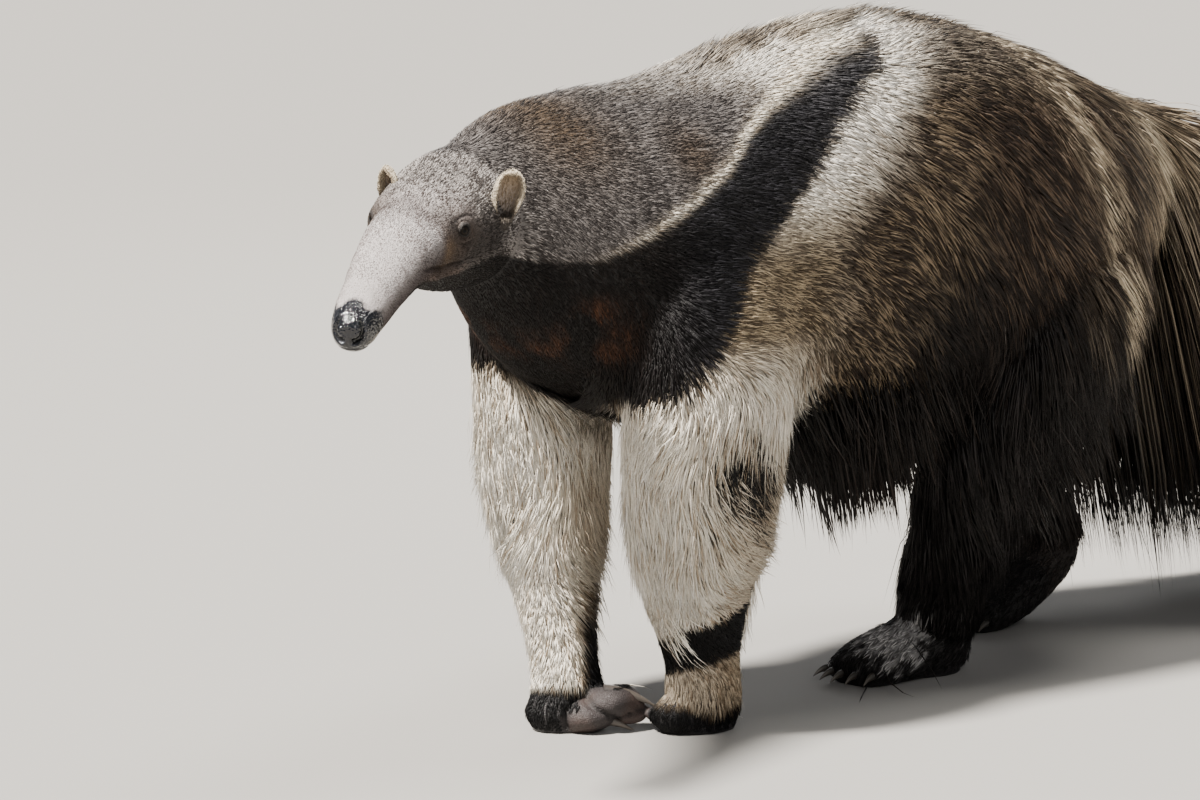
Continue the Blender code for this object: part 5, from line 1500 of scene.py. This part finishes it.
# A lock of the flank hangs before the thigh, and hair hangs off the back of the thighs
flank_lock = low_side * bump(there["y"] + 0.165, 0.045) * smoothstep(0.03, 0.07, np.abs(there["x"]))
fringe("flank_fringe", "coat_dark", 800, 212, flank_lock, 0.122, (0, 0.16, -1.0), (0, 0.06, -0.10),
       kind="dark")
behind_thigh = np.maximum(there["hindleg_left"] * smoothstep(0.35, 0.75, there["hindleg_left_way"][1]),
                          there["hindleg_right"] * smoothstep(0.35, 0.75, there["hindleg_right_way"][1]))
behind_thigh = behind_thigh * smoothstep(0.16, 0.21, there["z"]) * smoothstep(0.36, 0.31, there["z"])
fringe("thigh_fringe", "coat_dark", 900, 213, behind_thigh, 0.090, (0, 0.55, -1.0), (0, 0.0, -0.20),
       kind="dark")

# Long cream hairs that hang over the black band of the left wrist, and off the back of both forelegs
across, along = there["foreleg_left_way"]
over_band = there["foreleg_left"] * bump(there["z"] - 0.108, 0.014)
over_band = over_band * smoothstep(-0.2, -0.7, across + along) * (across - along > 0.2)
fringe("wrist_fringe", "coat_pale", 90, 221, over_band, 0.042, (0.35, 0.35, -1.0),
       (0.10, 0.20, 0.10), 0.0012, "cream", 0.22)
behind_leg = there["fore"] * bump(there["z"] - 0.16, 0.06) * np.maximum(
    smoothstep(0.3, 0.8, along) * there["foreleg_left"],
    smoothstep(0.3, 0.8, there["foreleg_right_way"][1]) * there["foreleg_right"])
fringe("foreleg_fringe", "coat_pale", 1100, 222, behind_leg, 0.050, (0.10, 0.75, -0.8), (0, 0.1, -0.25),
       0.0016, "cream", 0.16)
print("pieces of hair so far:", len(coat))

# %% [markdown]
# ## Ears
#
# The ears are small, thick-rimmed cups that stand up behind the eyes. Each is a tube that follows
# the ear's own profile; its front is then pressed in to make the cup. Short pale hair covers it,
# dark at its foot. The left ear is placed as the camera sees it, further forward than its solid.

# %% Model the ears
EAR_AT = {1: Vector((0.047, 0.0595, 0.0165)), -1: Vector((0.046, 0.0500, 0.014))}
EAR_OUT = {1: Vector((-0.15, 0.14, 0.96)), -1: Vector((0.35, -0.145, 0.91))}
EAR_OPEN = {1: Vector((0.84, 0.50, -0.15)), -1: Vector((0.74, 0.67, -0.15))}
EAR_HALF_WIDTH = 0.0158
EAR_ROWS = ((-0.014, 0.0060, 0.0054), (0.000, 0.0088, 0.0080), (0.010, 0.0132, 0.0088),
            (0.021, EAR_HALF_WIDTH, 0.0078), (0.030, 0.0150, 0.0062), (0.0375, 0.0112, 0.0042),
            (0.0420, 0.0056, 0.0022), (0.0436, 0.0016, 0.0012))
EAR_RIM, EAR_INSIDE, EAR_CUP_SHADE = (0.40, 0.33, 0.24), (0.23, 0.165, 0.10), (0.022, 0.016, 0.013)


def sided(vector, side):
    """A direction given forward, left and up in the head, turned into the world; -1 mirrors it."""
    return (FORWARD * vector[0] + LEFT * (vector[1] * side) + UP * vector[2]).normalized()


def make_ear(side):
    """The bare ear, and how deep in the cup each of its vertices lies."""
    name = "ear_skin_left" if side > 0 else "ear_skin_right"
    ear = tube(name, "XY", [(Vector((0, 0, rise)), wide, deep) for rise, wide, deep in EAR_ROWS], sides=24,
               squareness=2.0)
    finish_with(ear, "SUBSURF", levels=2, render_levels=2)
    co = places(ear.data)
    # The cup: the front of the ear is pressed back to a thin wall inside its rim
    rise = (co[:, 2] - 0.0190) / 0.0225
    across = co[:, 0] / (0.86 * np.interp(co[:, 2], [r[0] for r in EAR_ROWS], [r[1] for r in EAR_ROWS]))
    inside = (1 - smoothstep(0.66, 1.0, np.abs(across))) * (1 - smoothstep(0.72, 1.0, np.abs(rise)))
    front = co[:, 1] > 0
    wall = -np.interp(co[:, 2], [r[0] for r in EAR_ROWS], [r[2] for r in EAR_ROWS]) + 0.0020
    hollow = inside * front
    co[:, 1] = co[:, 1] * (1 - hollow) + wall * hollow
    co[:, 1] += 0.0010 * waves(co, 0.012, 301 + side) * (co[:, 2] > 0.01)
    set_places(ear.data, co)
    depth = smoothstep(0.25, 0.95, hollow)
    tint = np.tile(np.array(EAR_RIM), (len(co), 1))
    tint *= (0.80 + 0.20 * smoothstep(0.0, 0.04, co[:, 2]))[:, None]
    tint = laid_over(tint, EAR_INSIDE, depth)
    # Painted shade deep in the lower part of the cup.
    tint = laid_over(tint, EAR_CUP_SHADE, depth * smoothstep(0.030, 0.006, co[:, 2] + 0.4 * co[:, 0]))
    behind = (co[:, 1] < -0.002) * smoothstep(0.040, 0.015, co[:, 2])
    tint = laid_over(tint, (0.30, 0.25, 0.21), behind * 0.8)
    tint = laid_over(tint, (0.030, 0.024, 0.021), smoothstep(0.011, -0.002, co[:, 2]))
    add_colours(ear.data, "tint", tint)
    out_way, face = sided(EAR_OUT[side], side), sided(EAR_OPEN[side], side)
    face = (face - out_way * face.dot(out_way)).normalized()
    across_way = face.cross(out_way)
    at = EAR_AT[side]
    root = HEAD_AT + FORWARD * at[0] + LEFT * (at[1] * side) + UP * at[2]
    axes = Matrix((across_way, face, out_way)).transposed().to_4x4()
    ear.data.transform(Matrix.Translation(root) @ axes)
    pick(ear)
    bpy.ops.object.shade_smooth()
    return ear, hollow


print("rows of an ear:", len(EAR_ROWS))

# %% [markdown]
# The hair of the ears is built like that of the body, with roots on the ear's own faces: short
# behind and on the rim, longer in the cup.

# %% Hair of the ears
def ear_hair(ear, hollow, side):
    """Short pale hair over the back and the rim of the ear, and longer hair in the cup."""
    rng = np.random.default_rng(310 + side)
    mesh = ear.data
    mesh.calc_loop_triangles()
    flat = np.empty(len(mesh.loop_triangles) * 3, np.int32)
    mesh.loop_triangles.foreach_get("vertices", flat)
    faces, co, normal = flat.reshape(-1, 3), places(mesh), directions(mesh)
    corner = co[faces]
    size = np.linalg.norm(np.cross(corner[:, 1] - corner[:, 0], corner[:, 2] - corner[:, 0]), axis=1)
    deep = hollow[faces].mean(axis=1)
    steps = np.cumsum(size * (1 - 0.70 * deep) * (1 + 1.5 * (deep > 0.05) * (deep < 0.6)))
    count = 3000
    chosen = np.minimum(np.searchsorted(steps, rng.random(count) * steps[-1]), len(faces) - 1)
    r, s = np.sqrt(rng.random(count)), rng.random(count)
    shares = np.stack([1 - r, r * (1 - s), r * s], axis=1)[:, :, None]
    root = (corner[chosen] * shares).sum(axis=1)
    around = unit((normal[faces[chosen]] * shares).sum(axis=1))
    inside = deep[chosen]
    up_way = np.array(sided(EAR_OUT[side], side))
    lie = up_way[None, :] - around * (around @ up_way)[:, None]
    lie = unit(unit(lie) + around * 0.30 + rng.normal(0, 0.18, (count, 3)))
    length = (0.0040 + 0.0035 * inside) * rng.uniform(0.6, 1.25, count)
    width = rng.uniform(0.00045, 0.0008, count)
    height = (root - np.array(HEAD_AT)) @ up_way
    tone = rng.uniform(0.75, 1.15, count)[:, None]
    pale = np.tile(np.array((0.60, 0.52, 0.40)), (count, 1))
    pale = laid_over(pale, (0.30, 0.205, 0.115), inside * 0.85)
    pale = laid_over(pale, (0.045, 0.036, 0.031), (1 - smoothstep(0.017, 0.031, height)) * 0.92)
    u = 0.01 + 0.97 * (height - height.min()) / np.ptp(height)
    side_way = np.array(np.cross(up_way, np.array(sided(EAR_OPEN[side], side))))
    around_angle = np.arctan2(around @ side_way, around @ np.array(sided(EAR_OPEN[side], side)))
    uv = (u * (1 - PATCH), (0.01 + 0.97 * (around_angle / (2 * math.pi) + 0.5)) * (1 - PATCH))
    colours = (pale * 0.55 * tone, pale * 0.85 * tone, pale * tone)
    made = build_tufts("ear_hair_left" if side > 0 else "ear_hair_right", root, around, lie, length,
                       width, -around * 0.2, colours, uv, 1, 320 + side, (0.003, 0.2))
    coat.append((made, "ear_skin"))


ears = {}
for side in (1, -1):
    ears[side], cup = make_ear(side)
    ear_hair(ears[side], cup, side)
    print(ears[side].name, triangles(ears[side]), "triangles")

# %% [markdown]
# ## Eyes
#
# A glossy ball with a small bulge for the cornea. Its iris is a very dark brown with fine spokes,
# its pupil a black disc, and it is nearly black at the edge too, where the lids lie on it.

# %% Model the eyes
def make_eye(side):
    start_fresh()
    bpy.ops.mesh.primitive_uv_sphere_add(segments=48, ring_count=32, radius=EYE_RADIUS)
    ball = bpy.context.object
    ball.name = "eyeball_left" if side > 0 else "eyeball_right"
    co = places(ball.data)
    off_axis = np.degrees(np.arccos(np.clip(co[:, 2] / EYE_RADIUS, -1, 1)))
    co *= (1 + 0.045 * (1 - smoothstep(20, 46, off_axis)))[:, None]
    set_places(ball.data, co)
    around = np.arctan2(co[:, 1], co[:, 0])
    spokes = 0.75 + 0.15 * np.sin(around * 23) + 0.10 * np.sin(around * 41 + 1.3)
    tint = np.array((0.013, 0.0088, 0.0054))[None, :] * spokes[:, None]
    oval = off_axis * (0.85 + 0.3 * np.sin(around) ** 2)
    tint = laid_over(tint, (0.0010, 0.0010, 0.0012), 1 - smoothstep(12, 15, oval))
    tint = laid_over(tint, (0.0045, 0.0035, 0.0033), smoothstep(25, 32, off_axis))
    add_colours(ball.data, "tint", tint)
    look = HEAD_PLACE.to_3x3() @ Vector((side, -1.10, 0.20)).normalized()
    ball.data.transform(look.to_track_quat("Z", "Y").to_matrix().to_4x4())
    ball.data.transform(Matrix.Translation(HEAD_PLACE @ Vector(EYES[side])))
    pick(ball)
    bpy.ops.object.shade_smooth()
    return ball


eyes = {side: make_eye(side) for side in (1, -1)}
print("eye at", [round(v, 3) for v in HEAD_PLACE @ Vector(EYES[1])])

# %% [markdown]
# ## Claws
#
# Each claw is a tapered tube that bends: two big ones turned in under each wrist, and five small
# ones on each hind foot. One function makes them all from root, direction, bend and size.

# %% Model the claws
FORE_CLAW, FORE_CLAW_SECOND, HIND_CLAW = (0.050, 0.0068), (0.038, 0.0060), (0.017, 0.0040)
FORE_CLAW_ROOTS = ((0.042, 0.008, 0.040, FORE_CLAW), (0.038, 0.000, 0.0125, FORE_CLAW_SECOND))
CLAW_SIDES, CLAW_STEPS = 14, 8
# Colours of the horn, from root to tip
FORE_HORN = ((0.030, 0.025, 0.023), (0.10, 0.085, 0.07))
HIND_HORN = ((0.0120, 0.0096, 0.0076), (0.072, 0.062, 0.048))


def claw_places():
    """Every claw: name, root, direction, the way it bends, and its size."""
    for name, side in (("left", 1), ("right", -1)):
        foot = LEGS["foreleg_" + name][-1]
        for number, (across, along, height, size) in enumerate(FORE_CLAW_ROOTS, 1):
            root = drawn(foot[0] - side * across, foot[1] + along, height)
            yield ("foreclaw_%s_%d" % (name, number), root, Vector((-side * 0.60, 0.80, 0.0)),
                   Vector((0.0, 0.1, -0.95)), size)
    for name, toes in (("left", HINDFEET["left"][-1]), ("right", HINDFEET["right"][-1])):
        for number in range(1, 6):
            out_by = (number - 3) / 2
            root = drawn(toes[0] + out_by * 0.031, toes[1] - 0.012 + 0.012 * out_by ** 2, 0.0135)
            yield ("hindclaw_%s_%d" % (name, number), root, Vector((out_by * 0.18, -1, -0.06)),
                   Vector((0, 0, -1)), HIND_CLAW)


def make_claw(name, root, forward, bend_to, size):
    """A tapered horn that starts at its root and bends to one side."""
    forward, bend_to = forward.normalized(), bend_to.normalized()
    length, radius = size
    rings = [(Vector((0, 0, length * k / CLAW_STEPS)), 1.0, 1.0) for k in range(CLAW_STEPS + 1)]
    claw = tube(name + "_horn", "XY", rings, sides=CLAW_SIDES, squareness=2.0)
    co = places(claw.data)
    t = np.clip(co[:, 2] / length, 0, 1)
    girth = radius * (1 - 0.90 * t ** 1.3)
    shaped = np.empty_like(co)
    for k, (x, y, z) in enumerate(co):
        ahead = (forward + bend_to * (0.7 * t[k])).normalized()
        across = ahead.cross(bend_to).normalized()
        rise = across.cross(ahead).normalized()
        middle = root + forward * (length * t[k]) + bend_to * (length * 0.35 * t[k] ** 2)
        ridge = 1 + 0.03 * math.sin(x * 9) * (1 - t[k])
        shaped[k] = middle + across * (x * girth[k] * 0.8 * ridge) + rise * (y * girth[k])
    shaped[:, 2] = np.maximum(shaped[:, 2], 0.0004)
    set_places(claw.data, shaped)
    at_root, at_tip = FORE_HORN if name.startswith("fore") else HIND_HORN
    add_colours(claw.data, "tint", laid_over(np.tile(np.array(at_root), (len(t), 1)), at_tip, t))
    pick(claw)
    bpy.ops.object.mode_set(mode="EDIT")
    bpy.ops.mesh.select_all(action="SELECT")
    bpy.ops.mesh.normals_make_consistent(inside=False)
    bpy.ops.object.mode_set(mode="OBJECT")
    bpy.ops.object.shade_smooth_by_angle(angle=math.radians(50))
    return claw


claws = {name: make_claw(name, *rest) for name, *rest in claw_places()}
print("claws:", len(claws))

# %% [markdown]
# ## Finishes
#
# Every finish starts from the painted colour, called tint. One shared group breaks it up with
# grain at two sizes, and a second gives the height of the pebbles on the wet nose. The shader
# itself stays in each material, with its plain numbers set on it.

# %% Shared groups
def new_group(name, inputs, outputs):
    group = bpy.data.node_groups.new(name, "ShaderNodeTree")
    for label, kind, default in inputs:
        socket = group.interface.new_socket(label, in_out="INPUT", socket_type=kind)
        if default is not None:
            socket.default_value = default
    for label, kind in outputs:
        group.interface.new_socket(label, in_out="OUTPUT", socket_type=kind)
    return group, group.nodes.new("NodeGroupInput"), group.nodes.new("NodeGroupOutput")


def grain_group():
    """Mottles a colour with broad and fine noise."""
    group, start, end = new_group(
        "mottled colour",
        [("Color", "NodeSocketColor", (0.5, 0.5, 0.5, 1)), ("Fine", "NodeSocketFloat", 400.0),
         ("Broad", "NodeSocketFloat", 30.0), ("Strength", "NodeSocketFloat", 0.25)],
        [("Color", "NodeSocketColor"), ("Grain", "NodeSocketFloat")])
    link = group.links.new
    where = group.nodes.new("ShaderNodeTexCoord")
    sizes = []
    for label in ("Fine", "Broad"):
        noise = group.nodes.new("ShaderNodeTexNoise")
        noise.inputs["Detail"].default_value = 3.0
        link(where.outputs["Object"], noise.inputs["Vector"])
        link(start.outputs[label], noise.inputs["Scale"])
        sizes.append(noise)
    both = group.nodes.new("ShaderNodeMath")
    both.operation = "ADD"
    link(sizes[0].outputs["Fac"], both.inputs[0])
    link(sizes[1].outputs["Fac"], both.inputs[1])
    centred = group.nodes.new("ShaderNodeMath")
    centred.operation = "SUBTRACT"
    link(both.outputs[0], centred.inputs[0])
    centred.inputs[1].default_value = 1.0
    scaled = group.nodes.new("ShaderNodeMath")
    scaled.operation = "MULTIPLY_ADD"
    link(centred.outputs[0], scaled.inputs[0])
    link(start.outputs["Strength"], scaled.inputs[1])
    scaled.inputs[2].default_value = 1.0
    shade = group.nodes.new("ShaderNodeVectorMath")
    shade.operation = "SCALE"
    link(start.outputs["Color"], shade.inputs[0])
    link(scaled.outputs[0], shade.inputs["Scale"])
    link(shade.outputs[0], end.inputs["Color"])
    link(sizes[0].outputs["Fac"], end.inputs["Grain"])
    return group


def pebble_group():
    """The height of small rounded pebbles parted by creases, as on a wet nose."""
    group, start, end = new_group("pebbles", [("Scale", "NodeSocketFloat", 900.0)],
                                  [("Height", "NodeSocketFloat")])
    where = group.nodes.new("ShaderNodeTexCoord")
    cells = group.nodes.new("ShaderNodeTexVoronoi")
    cells.feature = "SMOOTH_F1"
    group.links.new(where.outputs["Object"], cells.inputs["Vector"])
    group.links.new(start.outputs["Scale"], cells.inputs["Scale"])
    flip = group.nodes.new("ShaderNodeMath")
    flip.operation = "SUBTRACT"
    flip.inputs[0].default_value = 1.0
    group.links.new(cells.outputs["Distance"], flip.inputs[1])
    group.links.new(flip.outputs[0], end.inputs["Height"])
    return group


GRAIN, PEBBLES = grain_group(), pebble_group()
print("shared groups:", len(bpy.data.node_groups))

# %% [markdown]
# A few helpers join the same nodes in every material: the tint, a bump, and a number that goes
# from a dry value to a wet one.

# %% Helpers for materials
def new_material(name, roughness, specular=0.5):
    material = bpy.data.materials.new(name)
    material.use_nodes = True
    shader = material.node_tree.nodes["Principled BSDF"]
    shader.inputs["Roughness"].default_value = roughness
    shader.inputs["Specular IOR Level"].default_value = specular
    return material, material.node_tree, shader


def attribute(tree, name):
    node = tree.nodes.new("ShaderNodeAttribute")
    node.attribute_name = name
    return node


def painted(tree, shader, fine, broad, strength):
    """Tint, mottled, into the shader's colour; gives back the mottling node."""
    mottled = tree.nodes.new("ShaderNodeGroup")
    mottled.node_tree = GRAIN
    for label, value in (("Fine", fine), ("Broad", broad), ("Strength", strength)):
        mottled.inputs[label].default_value = value
    tree.links.new(attribute(tree, "tint").outputs["Color"], mottled.inputs["Color"])
    tree.links.new(mottled.outputs["Color"], shader.inputs["Base Color"])
    return mottled


def raised(tree, shader, height, distance, strength=1.0):
    node = tree.nodes.new("ShaderNodeBump")
    node.inputs["Distance"].default_value = distance
    node.inputs["Strength"].default_value = strength
    tree.links.new(height, node.inputs["Height"])
    tree.links.new(node.outputs["Normal"], shader.inputs["Normal"])
    return node


def wetted(tree, wetness, shader, socket, dry, soaked):
    """Lets a number of the shader go from dry to soaked as the skin's wetness says."""
    node = tree.nodes.new("ShaderNodeMapRange")
    node.inputs["To Min"].default_value = dry
    node.inputs["To Max"].default_value = soaked
    tree.links.new(wetness, node.inputs["Value"])
    tree.links.new(node.outputs["Result"], shader.inputs[socket])


print("nodes in the shared groups:", sum(len(group.nodes) for group in bpy.data.node_groups))

# %% [markdown]
# The skin is dull where it is dry and has a thin wet film on the nose. Hair has four finishes that
# differ in gloss, and ears, eyes and claws have their own.

# %% The materials
def skin_material():
    material, tree, shader = new_material("skin of the anteater", 0.6, 0.45)
    mottled = painted(tree, shader, 900.0, 60.0, 0.35)
    wetness = attribute(tree, "wet").outputs["Fac"]
    wetted(tree, wetness, shader, "Roughness", 0.62, 0.16)
    wetted(tree, wetness, shader, "Specular IOR Level", 0.35, 0.18)
    wetted(tree, wetness, shader, "Coat Weight", 0.0, 0.85)
    shader.inputs["Coat Roughness"].default_value = 0.10
    pebbles = tree.nodes.new("ShaderNodeGroup")
    pebbles.node_tree = PEBBLES
    pebbles.inputs["Scale"].default_value = 430.0
    both = tree.nodes.new("ShaderNodeMix")
    tree.links.new(attribute(tree, "pebbled").outputs["Fac"], both.inputs["Factor"])
    tree.links.new(mottled.outputs["Grain"], both.inputs["A"])
    tree.links.new(pebbles.outputs["Height"], both.inputs["B"])
    bumped = raised(tree, shader, both.outputs["Result"], 0.0013)
    tree.links.new(bumped.outputs["Normal"], shader.inputs["Coat Normal"])
    return material


def hair_material(name, roughness, specular):
    material, tree, shader = new_material(name, roughness, specular)
    painted(tree, shader, 700.0, 40.0, 0.45)
    return material


def eye_material():
    material, tree, shader = new_material("wet eye", 0.45, 0.05)
    painted(tree, shader, 1600.0, 300.0, 0.25)
    shader.inputs["Coat Weight"].default_value = 0.11
    shader.inputs["Coat Roughness"].default_value = 0.03
    return material


def horn_material():
    material, tree, shader = new_material("claw horn", 0.38, 0.5)
    mottled = painted(tree, shader, 500.0, 90.0, 0.5)
    raised(tree, shader, mottled.outputs["Grain"], 0.0003)
    return material


SKIN = skin_material()
HAIR = {"coat_face": hair_material("short face hair", 0.62, 0.14),
        "coat_grizzled": hair_material("grizzled hair", 0.50, 0.15),
        "coat_pale": hair_material("cream hair", 0.52, 0.15),
        "coat_dark": hair_material("dark hair", 0.42, 0.16),
        "ear_skin": hair_material("ear hair", 0.60, 0.20)}
EYE, HORN = eye_material(), horn_material()
for finish, pieces in ((SKIN, (skin, *ears.values())), (EYE, eyes.values()), (HORN, claws.values())):
    for piece in pieces:
        piece.data.materials.clear()
        piece.data.materials.append(finish)
for made, slot in coat:
    made.data.materials.append(HAIR[slot])
print("materials:", len(bpy.data.materials))

# %% [markdown]
# ## Tell the frame what stands for what
#
# One skin takes the place of all flesh. The coat rides with it, and each eye, ear and claw takes
# the place of its own solid.

# %% Ride and replace
FLESH = ("head", "nose", "neck", "torso", "tail_base", "tail_middle", "tail_tip", "foreleg_left",
         "foreleg_right", "hindleg_left", "hindleg_right")
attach(skin, "root")
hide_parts(*FLESH)
for made, slot in coat:
    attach(made, "root")
for pieces, word, slot in ((ears, "ear", "ear_skin"), (eyes, "eye", "eyeball")):
    for side, piece in pieces.items():
        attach(piece, "root")
        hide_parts(word + ("_left" if side > 0 else "_right"))
for name, piece in claws.items():
    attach(piece, "root")
    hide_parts(name)
hair_total = sum(triangles(made) for made, _ in coat)
others = (skin, *ears.values(), *eyes.values(), *claws.values())
total = hair_total + sum(triangles(piece) for piece in others)
print("coat:", hair_total, "of", total, "triangles in all")

# %% [markdown]
# ## Studio
#
# A plain floor that looks pale under one strong, slightly soft key light from high on the left, as
# the sun stands in the photo. A weak fill from the right, a light from above and one from behind
# open the shadows.
# The camera looks along the animal's left front quarter, from a little above its back.

# %% Floor, lights and camera
TARGET, CAMERA_AT, LENS = drawn(0, -0.425, 0.318), drawn(3.111, -3.536, 0.97), 139.5

start_fresh()
bpy.ops.mesh.primitive_plane_add(size=60, location=(0, 0, -0.0006))
floor = bpy.context.object
floor.name = "studio_floor"
bpy.ops.object.transform_apply(location=True, rotation=True, scale=True)
material, tree, shader = new_material("pale floor", 0.85, 0.2)
shader.inputs["Base Color"].default_value = (0.235, 0.228, 0.217, 1)
floor.data.materials.append(material)


def soft_light(name, at, power, size, colour=(1, 1, 1)):
    light = bpy.data.lights.new(name, "AREA")
    light.energy, light.size, light.color = power, size, colour
    lamp = bpy.data.objects.new(name, light)
    bpy.context.scene.collection.objects.link(lamp)
    lamp.location = at
    lamp.rotation_euler = (Vector((0, 0, 0.35)) - Vector(at)).to_track_quat("-Z", "Y").to_euler()


sun = bpy.data.lights.new("key", "SUN")
sun.energy, sun.angle, sun.color = 21.0, math.radians(8), (1.0, 0.95, 0.875)
key = bpy.data.objects.new("key", sun)
bpy.context.scene.collection.objects.link(key)
key.rotation_euler = (-Vector((-0.10, -0.56, 0.82))).to_track_quat("-Z", "Y").to_euler()
soft_light("fill", (3.4, -2.2, 2.2), 60, 2.2, (1.0, 0.98, 0.96))
soft_light("top", (0.4, 0.6, 4.0), 120, 1.4, (1.0, 0.97, 0.92))
soft_light("behind", (-2.2, 2.6, 2.4), 50, 1.6)
world = bpy.data.worlds.new("studio")
bpy.context.scene.world = world
world.use_nodes = True
world.node_tree.nodes["Background"].inputs["Color"].default_value = (0.93, 0.93, 0.95, 1)
world.node_tree.nodes["Background"].inputs["Strength"].default_value = 0.32

camera = bpy.data.objects.new("camera", bpy.data.cameras.new("camera"))
bpy.context.scene.collection.objects.link(camera)
camera.location = CAMERA_AT
camera.rotation_euler = (TARGET - CAMERA_AT).to_track_quat("-Z", "Y").to_euler()
camera.data.lens = LENS
camera.data.sensor_width = 36.0
bpy.context.scene.camera = camera
print("lights:", len(bpy.data.lights), "and the sky; lens", LENS, "mm")
